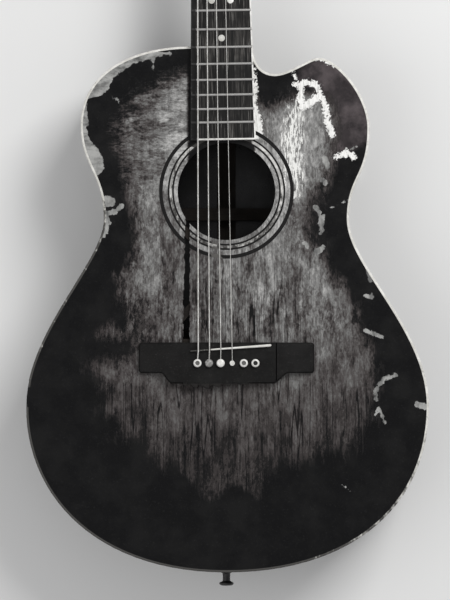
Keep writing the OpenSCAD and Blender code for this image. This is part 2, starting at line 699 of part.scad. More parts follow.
// A flat round button with a swelled edge, fixed on its worm shaft.
module tuner_button(i) color(cream) at_tuner(i) translate([0, worm_y, worm_z]) {
    translate([-ear_x[1] - 0.8, 0, 0]) rotate([0, 90, 0]) cylinder(h = button_x + ear_x[1] - 4, r = shaft_r, $fn = 32);
    translate([-ear_x[0] + 0.1, 0, 0]) rotate([0, 90, 0]) cylinder(h = 2 * ear_x[0] - 0.2, r = worm_core_r, $fn = 32);
    translate([ear_x[1] + 0.2, 0, 0]) rotate([0, 90, 0]) cylinder(h = 1, r = 2.4, $fn = 32);
    translate([button_x - button_r - 2, 0, 0]) rotate([0, 90, 0]) cylinder(h = 4, r = 2.7, $fn = 32);
    translate([button_x, 0, 0]) rotate_extrude($fn = 48) polygon(concat([[0, -button_t / 2 + 0.6]],
        [for (i = [-4:4]) let (a = i * 22.5) [button_r - 2 + 2 * cos(a), button_t / 2 * sin(a)]],
        [[0, button_t / 2 - 0.6]]));
}

// ---------------------------------------------------------------- strings

gauges = [1.35, 1.07, 0.81, 0.61];
function gauge(i) = gauges[i];
saddle_top = bridge_h + saddle_rise;
wind_turns = [4, 4, 5, 6];

// A round bend at b on the way from a to c, starting and ending at the given reach from b.
function bend(a, b, c, reach, n = 3) = [for (k = [0:n])
    let (t = k / n, p = b + reach * unit(a - b), q = b + reach * unit(c - b))
    (1 - t) * (1 - t) * p + 2 * t * (1 - t) * b + t * t * q];

// A round wire along a path that never runs sideways: one ring of points for each of the path's.
wire_sides = 12;
module wire(path, r) {
    n = len(path);
    points = [for (k = [0:n - 1])
        let (t = unit(path[min(k + 1, n - 1)] - path[max(k - 1, 0)]), v = unit(cross(t, [1, 0, 0])), u = cross(v, t))
        for (j = [0:wire_sides - 1]) let (a = 360 * j / wire_sides) path[k] + r * (cos(a) * u + sin(a) * v)];
    walls = [for (k = [0:n - 2]) for (j = [0:wire_sides - 1]) let (m = (j + 1) % wire_sides, o = k * wire_sides)
        for (f = [[o + j, o + m + wire_sides, o + m], [o + j, o + j + wire_sides, o + m + wire_sides]]) f];
    ends = [[for (j = [0:wire_sides - 1]) j], [for (j = [wire_sides - 1:-1:0]) (n - 1) * wire_sides + j]];
    polyhedron(points, concat(walls, ends));
}

// A point of the neck's frame as seen from the soundboard's, and one of the head's from the neck's.
function turn(p) = let (c = cos(neck_skew), s = sin(neck_skew), y = p[1] - saddle_y)
    [c * p[0] - s * y, s * p[0] + c * y + saddle_y, p[2]];
function lean(p) = [p[0], head_y + cos(head_angle) * p[1] + sin(head_angle) * p[2],
    -sin(head_angle) * p[1] + cos(head_angle) * p[2]];

wind_z = facing_t + 3.4; // of the string where it meets its post, over the head's wooden face
wind_gap = 0.15;         // between the arriving string and the turns above it
// Where a string from the nut just touches its round of its post, on the head's middle side.
function wind_r(i) = post_r + slack + gauge(i) / 2;
function post_touch(i) = let (
    from = [nut_x(i), -nut_string_z * sin(head_angle)] - tuner_at(i),
    a = atan2(from[1], from[0]) - tuner_side(i) * acos(wind_r(i) / norm(from)))
    tuner_at(i) + wind_r(i) * [cos(a), sin(a)];
string_pitch = 10.8;     // between strings where they cross the saddle

module string(i) {
    r = gauge(i) / 2;
    x = (i - 2.5) * string_pitch;
    ball = [pin_x(i), pin_y + run_offset, ball_z + 1];
    entry = [pin_x(i), pin_y + run_offset, bridge_h + 0.6];
    rear = [x, saddle_line(x) - saddle_half(x) - 0.3, saddle_top + r + slack];
    front = [x, saddle_line(x) + saddle_half(x) + 0.3, saddle_top + r + slack];
    nut_rear = turn([nut_x(i), nut_y - 0.4, nut_string_z]);
    nut_front = turn([nut_x(i), head_y + 0.4, nut_string_z]);
    touch = turn(lean([post_touch(i)[0], post_touch(i)[1], wind_z]));
    on_top() {
        translate([pin_x(i), pin_y + ball_offset, ball_z]) cylinder(h = ball_l, r = ball_r, $fn = 24);
        wire(concat([ball], bend(ball, entry, rear, 0.9, 5), bend(entry, rear, front, 0.25),
            bend(rear, front, nut_rear, 0.25), bend(front, nut_rear, nut_front, 0.25),
            bend(nut_rear, nut_front, touch, 0.25), [touch]), r);
    }
}
module string_winding(i) color(bronze) on_head() translate([tuner_at(i)[0], tuner_at(i)[1], wind_z + wind_gap])
    for (k = [1:wind_turns[i]]) translate([0, 0, k * (gauge(i) + slack)])
        rotate_extrude($fn = 48) translate([wind_r(i), 0]) circle(r = gauge(i) / 2, $fn = 16);

// ---------------------------------------------------------------- what is drawn

module show(name) children();

show("soundboard") soundboard();
show("back_plate") back_plate();
show("bass_side") bass_side();
show("treble_side") treble_side();
show("top_binding") top_binding();
show("back_binding") back_binding();
show("rosette_dark_rings") rosette_dark_rings();
show("rosette_pale_ring") rosette_pale_ring();
show("top_lining") top_lining();
show("back_lining") back_lining();
show("neck_block") neck_block();
show("tail_block") tail_block();
show("x_brace_bass") x_brace_bass();
show("x_brace_treble") x_brace_treble();
show("tone_bars") tone_bars();
show("finger_braces") finger_braces();
show("upper_brace") upper_brace();
show("soundhole_braces") soundhole_braces();
show("bridge_plate") bridge_plate();
show("back_braces") back_braces();
show("back_strip") back_strip();
show("end_pin") end_pin();
show("bridge") bridge();
show("saddle") saddle();
show("bridge_pins") bridge_pins();
show("neck") neck();
show("heel_cap") heel_cap();
show("fingerboard") fingerboard();
show("fingerboard_binding") fingerboard_binding();
show("frets") frets();
show("position_dots") position_dots();
show("nut") nut();
show("truss_rod") truss_rod();
show("head_facing") head_facing();
show("truss_rod_cover") truss_rod_cover();
show("cover_screws") cover_screws();
show("tuner_plates") tuner_plates();
show("tuner_bushings") tuner_bushings();
show("tuner_screws") tuner_screws();
for (i = [0:tuner_n - 1]) {
    show(str("tuner_button_", i + 1)) tuner_button(i);
    show(str("tuner_post_", i + 1)) tuner_post(i);
}
for (i = [0:string_n - 1]) {
    show(str("string_", i + 1)) string(i);
    show(str("string_winding_", i + 1)) string_winding(i);
}
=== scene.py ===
import bmesh
import bpy
import numpy as np
from mathutils import Matrix, Vector
from mathutils.geometry import delaunay_2d_cdt


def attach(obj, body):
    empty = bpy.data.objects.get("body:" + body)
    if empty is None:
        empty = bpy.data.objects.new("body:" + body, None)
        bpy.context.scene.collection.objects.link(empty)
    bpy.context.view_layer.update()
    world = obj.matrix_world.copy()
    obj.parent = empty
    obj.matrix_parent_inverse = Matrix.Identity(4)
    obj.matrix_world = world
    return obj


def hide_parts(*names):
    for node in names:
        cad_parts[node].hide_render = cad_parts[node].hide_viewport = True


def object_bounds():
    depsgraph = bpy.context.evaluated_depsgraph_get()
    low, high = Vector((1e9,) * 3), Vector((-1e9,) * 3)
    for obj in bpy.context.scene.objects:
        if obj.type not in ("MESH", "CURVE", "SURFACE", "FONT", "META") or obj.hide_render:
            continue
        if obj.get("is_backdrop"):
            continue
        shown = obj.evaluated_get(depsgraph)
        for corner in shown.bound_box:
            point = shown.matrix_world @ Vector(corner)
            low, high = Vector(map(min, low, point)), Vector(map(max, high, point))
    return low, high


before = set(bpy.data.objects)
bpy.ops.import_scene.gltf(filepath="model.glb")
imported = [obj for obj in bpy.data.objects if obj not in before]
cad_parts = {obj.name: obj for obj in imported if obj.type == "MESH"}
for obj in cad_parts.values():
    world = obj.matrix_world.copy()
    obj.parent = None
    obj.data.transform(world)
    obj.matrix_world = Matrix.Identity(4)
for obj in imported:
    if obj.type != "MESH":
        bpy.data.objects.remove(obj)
for left_over in ("Cube", "Light", "Camera"):
    if left_over in bpy.data.objects:
        bpy.data.objects.remove(bpy.data.objects[left_over])
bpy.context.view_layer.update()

# ---- Studio. A plain pale matt floor that the guitar lies on, a large soft lamp high on the treble side
# of the head, a weak one opposite, and a camera straight above the body.
scene = bpy.context.scene
scene.view_settings.view_transform = "Standard"
cam = bpy.data.objects.new("camera", bpy.data.cameras.new("camera"))
cam.location = (-0.0014, -0.1046, 3.312)
cam.data.lens, cam.data.sensor_width = 200, 36
cam.data.clip_end = 50
scene.collection.objects.link(cam)
scene.camera = cam
lit_spot = Vector((0, -0.05, 0.1))
for name, place, size, power in (("key", (1.1, 1.3, 1.9), 1.1, 46), ("fill", (-1.5, -0.6, 2.0), 2.0, 14)):
    lamp = bpy.data.lights.new(name, "AREA")
    lamp.size, lamp.energy = size, power
    lamp_object = bpy.data.objects.new(name, lamp)
    lamp_object.location = place
    lamp_object.rotation_mode = "QUATERNION"
    lamp_object.rotation_quaternion = (Vector(place) - lit_spot).to_track_quat("Z", "Y")
    scene.collection.objects.link(lamp_object)
scene.world = bpy.data.worlds.new("studio")
scene.world.use_nodes = True
sky = scene.world.node_tree.nodes["Background"].inputs
sky["Color"].default_value = (0.9, 0.9, 0.92, 1)
sky["Strength"].default_value = 0.55


class Graph:
    """A short way to write shader nodes into one tree. A value may be a number, a colour or another
    node's output, and each call returns an output of the node that it adds."""

    def __init__(self, tree):
        self.tree = tree

    def feed(self, node, key, value):
        """Links an output to a node's input, or sets the input to a number or a colour."""
        if isinstance(value, bpy.types.NodeSocket):
            self.tree.links.new(value, node.inputs[key])
        else:
            short = node.inputs[key].type == "RGBA" and len(value) == 3
            node.inputs[key].default_value = (*value, 1) if short else value

    def add(self, kind, values=(), out=0, **settings):
        """A new node of that kind, its inputs fed with {number or name: value}, and its settings."""
        node = self.tree.nodes.new("ShaderNode" + kind)
        for key, value in settings.items():
            setattr(node, key, value)
        for key, value in dict(values).items():
            self.feed(node, key, value)
        return node.outputs[out]

    def math(self, operation, a, b=0.0):
        return self.add("Math", {0: a, 1: b}, operation=operation)

    def plus(self, a, b):
        return self.math("ADD", a, b)

    def minus(self, a, b):
        return self.math("SUBTRACT", a, b)

    def times(self, a, b):
        return self.math("MULTIPLY", a, b)

    def greater(self, a, b):
        return self.math("MAXIMUM", a, b)

    def scaled(self, vector, factors):
        return self.add("VectorMath", {0: vector, 1: factors}, operation="MULTIPLY")

    def noise(self, vector, detail, roughness, size):
        """Noise whose largest patches are about that many millimetres across."""
        return self.add("TexNoise", {"Vector": vector, "Scale": 1.0 / size, "Detail": detail,
                                     "Roughness": roughness})

    def between(self, value, low, high, to_low=0.0, to_high=1.0):
        """A smooth step: to_low where the value is low or less, to_high where it is high or more."""
        return self.add("MapRange", {0: value, 1: low, 2: high, 3: to_low, 4: to_high},
                        interpolation_type="SMOOTHSTEP")

    def level(self, factor, a, b):
        """A number that far of the way from a to b."""
        return self.add("Mix", {0: factor, 2: a, 3: b})

    def mix(self, factor, a, b, blend="MIX"):
        """A colour that far of the way from a to b."""
        return self.add("Mix", {0: factor, 6: a, 7: b}, out=2, data_type="RGBA", blend_type=blend)

    def grey(self, factor, a, b):
        """A grey that far of the way from a to b, for roughness."""
        return self.mix(factor, (a, a, a), (b, b, b))

    def attribute(self, name):
        return self.add("Attribute", out=2, attribute_name=name)

    def millimetres(self):
        return self.scaled(self.add("TexCoord", out=3), (1000, 1000, 1000))

    def group(self, name, out=0, **values):
        """A node group's output, or a list of them for a tuple of names."""
        node = self.tree.nodes.new("ShaderNodeGroup")
        node.node_tree = bpy.data.node_groups[name]
        for key, value in values.items():
            self.feed(node, key, value)
        return [node.outputs[k] for k in out] if isinstance(out, tuple) else node.outputs[out]


def finish(name, look, **fixed):
    """A material whose Principled BSDF takes what look(graph) returns: {socket: number, colour or output}.
    Its "Height" is an output and the bump's depth in metres. Fixed values go straight onto the sockets."""
    material = bpy.data.materials.new(name)
    material.use_nodes = True
    g = Graph(material.node_tree)
    made = look(g)
    if "Height" in made:
        height, deep = made.pop("Height")
        made["Normal"] = g.add("Bump", {"Height": height, "Distance": deep, "Strength": 1.0})
    made.update({key.replace("_", " "): value for key, value in fixed.items()})
    for key, value in made.items():
        g.feed(material.node_tree.nodes["Principled BSDF"], key, value)
    return material


floor = bpy.data.objects.new("floor", bpy.data.meshes.new("floor"))
floor.data.from_pydata([(-6, -6, 0), (6, -6, 0), (6, 6, 0), (-6, 6, 0)], [], [(0, 1, 2, 3)])
floor.data.materials.append(finish("floor_pale", lambda g: {}, Base_Color=(0.72, 0.72, 0.71), Roughness=0.9))
scene.collection.objects.link(floor)
floor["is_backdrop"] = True


# ---- Soundboard. A thin spruce plate, lacquered black and glued over the sides. Its middle is worn through
# to grey weathered wood, the lacquer has flaked at the edges, and it is split along the grain from the
# soundhole to the bridge. A strip left black beside the fingerboard, down to the soundhole, is painted
# shadow of the fingerboard. Its frame's origin is the soundhole's centre, and it leans with the body's taper.
def turned(axis, degrees):
    """A turn about the x, y or z axis."""
    return Matrix.Rotation(np.radians(degrees), 4, axis)


# All sizes from here on are in millimetres.
depth_neck, depth_tail, tail_reach, neck_reach = 98.0, 118.0, 366.0, 140.0
taper = np.degrees(np.arctan2(depth_tail - depth_neck, tail_reach + neck_reach))
tilt = np.radians(taper)
top_z = depth_neck + neck_reach * np.tan(tilt)
ON_TOP = Matrix.Translation((0, 0, top_z)) @ turned("X", -taper)
top_t, hole_r, plate_inset = 2.8, 47.0, 2.2
RINGS = (50.6, 52.3, 54.9, 56.6, 61.4, 64.9)  # edges of the inlay: dark, pale, dark, a gap, and dark


def moved(points, at):
    """Points carried by a matrix."""
    m = np.array(at)
    return points @ m[:3, :3].T + m[:3, 3]


def placed(shape, at):
    """A shape, (points, faces), carried by a matrix, its faces turned over where the matrix mirrors it."""
    points, faces = shape
    return moved(points, at), faces[:, ::-1] if np.linalg.det(np.array(at)[:3, :3]) < 0 else faces


def piece(name, shape, at, material, slot, stands_for=(), body="guitar", **values):
    """One mesh object from a shape: points (N, 3) in the frame `at`, and faces (M, 3 or 4) of their numbers.
    Extra arrays become point attributes."""
    P, F = placed(shape, at)
    mesh = bpy.data.meshes.new(name)
    mesh.vertices.add(len(P))
    mesh.vertices.foreach_set("co", (P / 1000).ravel())
    mesh.loops.add(F.size)
    mesh.loops.foreach_set("vertex_index", F.ravel())
    mesh.polygons.add(len(F))
    mesh.polygons.foreach_set("loop_start", np.arange(0, F.size, F.shape[1]))
    mesh.polygons.foreach_set("use_smooth", np.full(len(F), True))
    mesh.update(calc_edges=True)
    mesh.validate()
    for key, value in values.items():
        attribute = mesh.attributes.new(key, "FLOAT", "POINT")
        attribute.data.foreach_set("value", np.asarray(value, np.float32))
    mesh.materials.append(material)
    o = bpy.data.objects.new(name, mesh)
    scene.collection.objects.link(o)
    mesh.set_sharp_from_angle(angle=np.radians(35))
    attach(o, body)
    if stands_for:
        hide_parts(*stands_for)


def body_edge(steps, inset=0.0):
    """The body's edge in the soundboard's plane, each point moved inwards along its mitre. Ten cubic
    curves in a row, each from two knots and their handles; the straight neck joint closes them."""
    knots = np.array([  # x, y, direction, length of the handle before and after
        (-34.5, 140, -1, 0, 0, 54), (-140.5, 64, 0, -1, 53, 40), (-118, -27, 0, -1, 44, 40),
        (-192.5, -206, 0, -1, 71, 90), (0, -366, 1, 0, 122, 123), (194.5, -206, 0, 1, 94, 73),
        (118, -27, 0, 1, 44, 42), (138, 61, 0, 1, 48, 32), (88.8, 129.1, -1, 0, 18, 9),
        (46.5, 113.5, -1, 0, 14, 12), (25.5, 140, 0, 1, 17, 0)], float)
    p, d = knots[:, :2], knots[:, 2:4]
    a, b = p + d * knots[:, 5:6], p - d * knots[:, 4:5]
    t = (np.arange(steps) / steps)[None, :, None]
    curve = ((1 - t) ** 3 * p[:-1, None] + 3 * (1 - t) ** 2 * t * a[:-1, None]
             + 3 * (1 - t) * t * t * b[1:, None] + t ** 3 * p[1:, None]).reshape(-1, 2)
    curve = np.concatenate([p[-1:], curve])
    before, after = curve - np.roll(curve, 1, 0), np.roll(curve, -1, 0) - curve
    u, v = (np.stack([-e[:, 1], e[:, 0]], 1) / np.linalg.norm(e, axis=1)[:, None] for e in (before, after))
    return curve + inset * (u + v) / (1 + (u * v).sum(1))[:, None]


def inside(P, loop):
    """Which points lie inside a closed loop: an upward ray crosses it an odd number of times."""
    a, b = loop, np.roll(loop, -1, 0)
    x, y = P[:, :1], P[:, 1:2]
    spans = (a[:, 0] > x) != (b[:, 0] > x)
    run = np.where(b[:, 0] == a[:, 0], 1e-9, b[:, 0] - a[:, 0])
    rise = a[:, 1] + (x - a[:, 0]) * (b[:, 1] - a[:, 1]) / run
    return (spans & (y < rise)).sum(1) % 2 == 1


def reach(P, path, width=0.0, closed=False):
    """How deep each point lies inside a shape, less than nought outside it: inside a closed loop, or
    inside a stroke of that half width along an open path."""
    a, b = (path, np.roll(path, -1, 0)) if closed else (path[:-1], path[1:])
    nearest = np.full(len(P), 1e9)
    for start, way in zip(a, b - a):
        t = np.clip(((P - start) @ way) / max(way @ way, 1e-9), 0, 1)
        nearest = np.minimum(nearest, np.linalg.norm(P - start - t[:, None] * way, axis=1))
    return np.where(inside(P, path), nearest, -nearest) if closed else width - nearest


def loop_of(*numbers):
    """Points (N, 2) from a run of x, y, x, y..."""
    return np.array(numbers, float).reshape(-1, 2)


def steady(x, seed=0.0):
    """A smooth, repeatable wander between -1 and 1 along x: three sines of unrelated lengths."""
    return (np.sin(x + seed) + np.sin(x * 2.37 + seed * 3.1) + 0.6 * np.sin(x * 5.13 + seed * 5.7)) / 2.6


def sheet_through(points, segments, wanted):
    """A flat sheet of triangles through the points, with every segment an edge of it: a Delaunay cut, less
    the triangles whose middles are not wanted and those with no area, all wound the same way."""
    cut = delaunay_2d_cdt([Vector(p) for p in points], segments.tolist(), [], 0, 1e-4, False)
    P, F = np.array([tuple(v) for v in cut[0]]), np.array([f for f in cut[2] if len(f) == 3])
    F = F[wanted(P[F].mean(1))]
    used = np.unique(F)
    P, F = P[used], np.searchsorted(used, F)
    area = np.cross(P[F[:, 1]] - P[F[:, 0]], P[F[:, 2]] - P[F[:, 0]])
    return P, np.where(area[:, None] < 0, F[:, ::-1], F)[abs(area) > 1e-6]


def plate_over(P, F, top, bottom):
    """A closed plate: a flat sheet at its top heights, again at its bottom height and turned over, and
    walls down from every edge that only one triangle has."""
    n = len(P)
    sides = np.concatenate([F[:, [0, 1]], F[:, [1, 2]], F[:, [2, 0]]])
    _, which, count = np.unique(np.sort(sides, axis=1), axis=0, return_inverse=True, return_counts=True)
    a, b = sides[count[which.ravel()] == 1].T
    heights = np.concatenate([top, np.full(n, bottom)])
    points = np.hstack([np.concatenate([P, P]), heights[:, None]])
    walls = [np.stack([b, a, a + n], 1), np.stack([b, a + n, b + n], 1)]
    return points, np.concatenate([F, F[:, ::-1] + n, *walls])


# The split's two edges run along the grain, with steps where fibres tore.
split_end_y = -149.2
t = np.linspace(0, 1, 90)[:, None]
right_x = -35.3 + 0.35 * steady(t * 19, 1.0) + 0.25 * np.sign(steady(t * 43, 4.0))
left_x = -39.7 - 2.3 * t + 0.5 * steady(t * 15, 2.0) + 0.4 * np.sign(steady(t * 37, 7.0))
right_y, left_y = (-np.sqrt(hole_r ** 2 - x[0, 0] ** 2) for x in (right_x, left_x))
right_edge = np.hstack([right_x, right_y + (split_end_y - right_y) * t])
left_edge = np.hstack([left_x, left_y + (split_end_y - left_y) * t])
start, stop = np.arctan2(right_y, right_x[0, 0]), np.arctan2(left_y, left_x[0, 0]) + 2 * np.pi
bearing = np.linspace(start, stop, 200)[1:-1, None]
hole_edge = hole_r * np.hstack([np.cos(bearing), np.sin(bearing)])
hole_loop = np.concatenate([right_edge[::-1], hole_edge, left_edge])
edge_loop = body_edge(34, plate_inset)


def ring_loop(r, n=260):
    """A circle about the soundhole, open from one of the split's edges to the other, which are read at a
    point near the rings."""
    a0, a1 = (np.arccos(side[12, 0] / r) for side in (right_edge, left_edge))
    a = np.linspace(-a0, 2 * np.pi - a1, n)[:, None]
    return r * np.hstack([np.cos(a), np.sin(a)])


def is_wood(middles):
    """Inside the edge, outside the soundhole and the split, and not in the inlay's channels."""
    r = np.linalg.norm(middles, axis=1)
    channel = ((r > RINGS[0]) & (r < RINGS[3])) | ((r > RINGS[4]) & (r < RINGS[5]))
    return inside(middles, edge_loop) & ~inside(middles, hole_loop) & ~channel


x, y = np.meshgrid(np.arange(-192, 194, 2.1), np.arange(-364, 138, 2.1))
loose = np.stack([x.ravel() + 0.4 * steady(y.ravel()), y.ravel() + 0.4 * steady(x.ravel() * 1.3)], 1)
keep = (reach(loose, edge_loop, closed=True) > 1.2) & (reach(loose, hole_loop, closed=True) < -0.8)
keep &= np.all([abs(np.linalg.norm(loose, axis=1) - r) > 0.7 for r in RINGS], axis=0)
loops = [edge_loop, hole_loop] + [ring_loop(r) for r in RINGS[:1] + RINGS[3:]]
segments, at = [], keep.sum()
for n, loop in enumerate(loops):
    ids = at + np.arange(len(loop))
    pairs = np.stack([ids, np.roll(ids, -1)], 1)
    segments.append(pairs if n < 2 else pairs[:-1])
    at += len(loop)
P, F = sheet_through(np.concatenate([loose[keep], *loops]), np.concatenate(segments), is_wood)

# How deep each point lies in each kind of wear. First the wood laid bare in the middle.
# Its last points give straight sides at x -36.8 and 26.8 from y 20 upwards. The strip between them is left
# black lacquer: painted shadow of the fingerboard.
open_wood_outside_shadow = loop_of(
    -36.8, 126, -50, 114, -62, 112, -78, 104, -90, 98, -97, 88, -104, 78, -110, 70, -112, 60, -108, 50,
    -110, 42, -103, 34, -100, 16, -99, 4, -93, -12, -90, -30, -91, -48, -95, -66, -100, -75, -113, -77,
    -104, -86, -108, -98, -101, -110, -98, -124, -120, -130, -125, -139, -112, -145, -101, -148,
    -102, -154, -120, -159, -137, -166, -139, -174, -125, -184, -122, -198, -126, -212, -111, -222,
    -113, -238, -103, -247, -86, -246, -80, -258, -68, -268, -58, -279, -52, -270, -40, -276, -32, -287,
    -26, -297, -16, -301, -6, -293, 2, -284, 14, -285, 22, -293, 30, -302, 36, -291, 38, -281,
    52, -283, 58, -269, 76, -265, 96, -261, 116, -264, 124, -256, 135, -250, 138, -236, 145, -226,
    148, -214, 145, -204, 150, -190, 150, -176, 146, -160, 142, -147, 136, -134, 132, -122, 126, -108,
    120, -97, 112, -86, 104, -74, 99, -60, 95, -46, 93, -30, 91, -14, 95, -2, 101, 10, 104, 24,
    106, 38, 106, 54, 108, 68, 104, 82, 97, 92, 88, 99, 70, 101, 60, 97, 50, 90, 40, 88, 32, 95,
    26.8, 104, 26.8, 20, -36.8, 20)
bare = reach(P, open_wood_outside_shadow, closed=True)
deep = reach(P, open_wood_outside_shadow[:-2], closed=True)  # the same, but for its straight edge under the fingerboard
edge_depth = reach(P, edge_loop, closed=True)
# Then the brown undercoat of the cutaway's horn.
horn = loop_of(64, 122, 90, 132, 120, 118, 142, 70, 138, 42, 118, 38, 108, 32, 100, 22, 100, 60, 96, 90,
               84, 100, 68, 103)
brown = np.minimum(reach(P, horn, closed=True), 14 - np.hypot(P[:, 0] - 104, P[:, 1] - 84) / 3.4)
# A pale band follows the bass shoulder's edge: its width at each height. Under -9 there is none.
band_y = [-48, -46, -28, -22, -16, -12, -4, 0, 10, 17, 22, 30, 38, 46, 50, 60, 68, 76, 84, 89, 92, 95,
          100, 112, 124, 130, 134, 137]
band_width = [-9, 3, 4, -9, -9, -9, -9, -9, -9, 3, 9, 12, 11, 8, 5, 4, 5, 3, 1, -2, 9, 12,
              11, 7, 5, 5, 4, -9]
pale_band = np.where(P[:, 0] < -52, np.interp(P[:, 1], band_y, band_width) - edge_depth, -9)


def strokes(*paths):
    """The depth in the nearest of several chips or scratches, each a half width and then a path."""
    return np.max([reach(P, loop_of(*path[1:]), path[0]) for path in paths], axis=0)


pale = np.maximum(pale_band, strokes(
    (3.6, -116, -8, -110, -9), (3.4, -117, -12, -110, -11), (2.2, -100, -14, -107, -19, -116, -21),
    (2.0, -116, -22, -113, -30), (0.9, -110, 92, -108, 89, -106, 90, -104, 86), (1.2, -71, 134, -70.6, 126),
    (0.6, -70.6, 126, -70.3, 117), (0.8, -56, 137, -55, 134), (0.45, 120, -6, 110, -12, 101, -16),
    (0.7, 63, 117, 67, 112, 69, 104), (0.9, 119, 40, 126, 44), (1.8, 136, -77, 139, -86),
    (0.5, 139, -86, 139, -98), (1.9, 134, -100, 140, -102), (2.0, 134, -134, 140, -137, 149, -140),
    (1.9, 162, -177, 152, -180, 146, -187, 143, -193, 144, -200), (1.5, 143, -214, 146, -209, 152, -222),
    (3.0, 192, -208, 184, -205), (0.45, 106, -283, 112, -283, 118, -288), (2.2, 91, 11, 95, 8),
    (2.6, 86, -15, 89, -20), (1.4, 89, -22, 91, -36), (1.8, 93, -24, 91, -40), (2.6, 97, 24, 95, 32),
    (3.0, 87, -58, 92, -55), (2.0, 74, -50, 78, -53)))
white_patch = loop_of(26, 110, 30, 105, 30, 96, 28, 88, 30, 78, 33, 70, 34.5, 62, 33, 55, 28, 50, 26, 52)
white = np.maximum(reach(P, white_patch, closed=True) + 0.4, strokes(
    (2.9, 67, 103, 76, 105, 86, 103, 89, 100), (3.0, 72, 99, 71, 90, 74, 81), (3.3, 74, 82, 82, 86, 90, 93),
    (2.8, 90, 93, 94, 86, 97, 74), (2.9, 97, 68, 100, 60, 102, 54), (1.0, 62, 118, 66, 112, 68, 103),
    (1.8, 104, 33, 111, 36, 116, 40), (2.7, 111, 35, 119, 36, 123, 33), (2.0, 80, 128, 90, 129, 100, 127),
    (1.0, 96, 124, 104, 121), (1.6, 48, 24, 52, 14, 56, 6), (1.2, 27, 118, 28, 104)))
streaky = reach(P, loop_of(54, 62, 60, 84, 66, 90, 74, 84, 74, 40, 73, 14, 70, -10, 66, -14, 62, 0, 54, 20,
                           53, 42), closed=True)
# How light the bare wood is, as an eye sees it: lightest beside the soundhole, dark towards the tail, with
# lighter and darker places of x, y, size and strength, each a bell round its middle.
tone = np.interp(P[:, 1], [-312, -290, -255, -225, -185, -145, -60, 60, 108, 128],
                 [.165, .175, .20, .25, .305, .34, .38, .37, .35, .22])
for place_x, place_y, size, strength in (
        (62, 58, 34, .15), (46, 8, 24, .08), (-46, 74, 26, .19), (-52, 30, 14, .08), (102, -148, 14, .10),
        (-62, -100, 16, .05), (-90, 62, 12, .06), (-82, 42, 22, -.10), (-62, 2, 16, .05), (-84, 92, 26, -.10),
        (-60, -70, 22, -.05), (70, -90, 34, .04), (86, -34, 15, -.20), (122, -134, 26, -.10),
        (50, 104, 14, -.20), (-64, 108, 14, -.04), (-96, 60, 18, -.04), (-92, -120, 22, -.10),
        (-70, -185, 40, -.04), (120, -210, 26, -.04)):
    away = (P[:, 0] - place_x) ** 2 + (P[:, 1] - place_y) ** 2
    tone = tone + strength * np.exp(-away / (2 * size ** 2))
inlaid = np.hypot(P[:, 0], P[:, 1]) < RINGS[4] + 0.1
tone += inlaid * (0.09 - 0.16 * np.clip(1 - abs(P[:, 0] + 11) / 9, 0, 1) * (P[:, 1] < 0))
# The wood darkens towards the lacquer's edge, less so in a tongue towards the tail, and stops short beside
# the fingerboard, at the edge of the painted shadow that the fingerboard casts there.
fade = np.clip((deep + 8) / np.interp(P[:, 1], [-300, -200, 20, 60], [20, 26, 20, 22]), 0, 1)
tongue = np.clip((-225 - P[:, 1]) / 12, 0, 1) * np.clip((46 - abs(P[:, 0] + 2)) / 10, 0, 1)
fade += tongue * (np.clip((deep + 5) / 9, 0, 1) - fade)
beside_board = (P[:, 0] > -45) & (P[:, 0] < 40) & (P[:, 1] > 15)
fade = np.where(beside_board, fade * np.clip(bare / 1.2 + 0.5, 0, 1), fade)
# Blotches are brushed on above the soundhole and combed along the grain below it, and calmer at the tail.
brush = np.clip((P[:, 1] + 20) / 60, 0, 1) * np.clip((20 - P[:, 0]) / 40, 0, 1)
comb = np.clip(1.25 - np.hypot((P[:, 0] - 14) / 95, (P[:, 1] + 140) / 120), 0.25, 1)
comb = np.maximum(comb, 0.75 * (P[:, 1] < -185))
calm = np.interp(P[:, 1], [-300, -200, -150, -120], [0.42, 0.5, 0.8, 1])
# The lacquer stands proud of the wood, and the wood curls up along the split.
curl = np.exp(-np.abs(reach(P, hole_loop, closed=True)) / 5) * (P[:, 1] < -40) * (P[:, 0] < -30)
height = -0.12 * np.clip(bare / 4 + 0.5, 0, 1) + 0.5 * curl * (0.5 + steady(P[:, 1] / 9))


def effect(name, takes, gives):
    """A new shader node group with inputs {name: default}, None for a vector, and those outputs. Returns
    its graph, its inputs and a call that feeds an output."""
    tree = bpy.data.node_groups.new(name, "ShaderNodeTree")
    for key, default in takes.items():
        kind = "NodeSocketVector" if default is None else "NodeSocketFloat"
        socket = tree.interface.new_socket(key, in_out="INPUT", socket_type=kind)
        if default is not None:
            socket.default_value = default
    for key in gives:
        tree.interface.new_socket(key, in_out="OUTPUT", socket_type="NodeSocketFloat")
    start, end = tree.nodes.new("NodeGroupInput"), tree.nodes.new("NodeGroupOutput")
    return Graph(tree), start.outputs, lambda key, value: tree.links.new(value, end.inputs[key])


# Grain runs along the guitar: broad light and dark streaks, and fine fibres for the bump.
g, given, end = effect("grain", {"Vector": None, "Width": 3.0}, ["Streak", "Fibre"])
bend = g.add("TexNoise", {"Vector": given["Vector"], "Scale": 0.02, "Detail": 2.0}, out=1)
bent = g.add("VectorMath", {0: g.scaled(given["Vector"], (1.0, 0.022, 1.0)), 1: g.scaled(bend, (5, 0, 5))},
             operation="ADD")
wide = g.add("VectorMath", {0: bent, 3: g.math("DIVIDE", 1.0, given["Width"])}, operation="SCALE")
broad = g.add("TexNoise", {"Vector": wide, "Scale": 0.55, "Detail": 6.0, "Roughness": 0.72})
fine = g.add("TexNoise", {"Vector": wide, "Scale": 3.6, "Detail": 3.0, "Roughness": 0.6})
end("Streak", g.add("MapRange", {0: g.plus(g.times(broad, 0.72), g.times(fine, 0.28)), 1: 0.34, 2: 0.66}))
end("Fibre", fine)

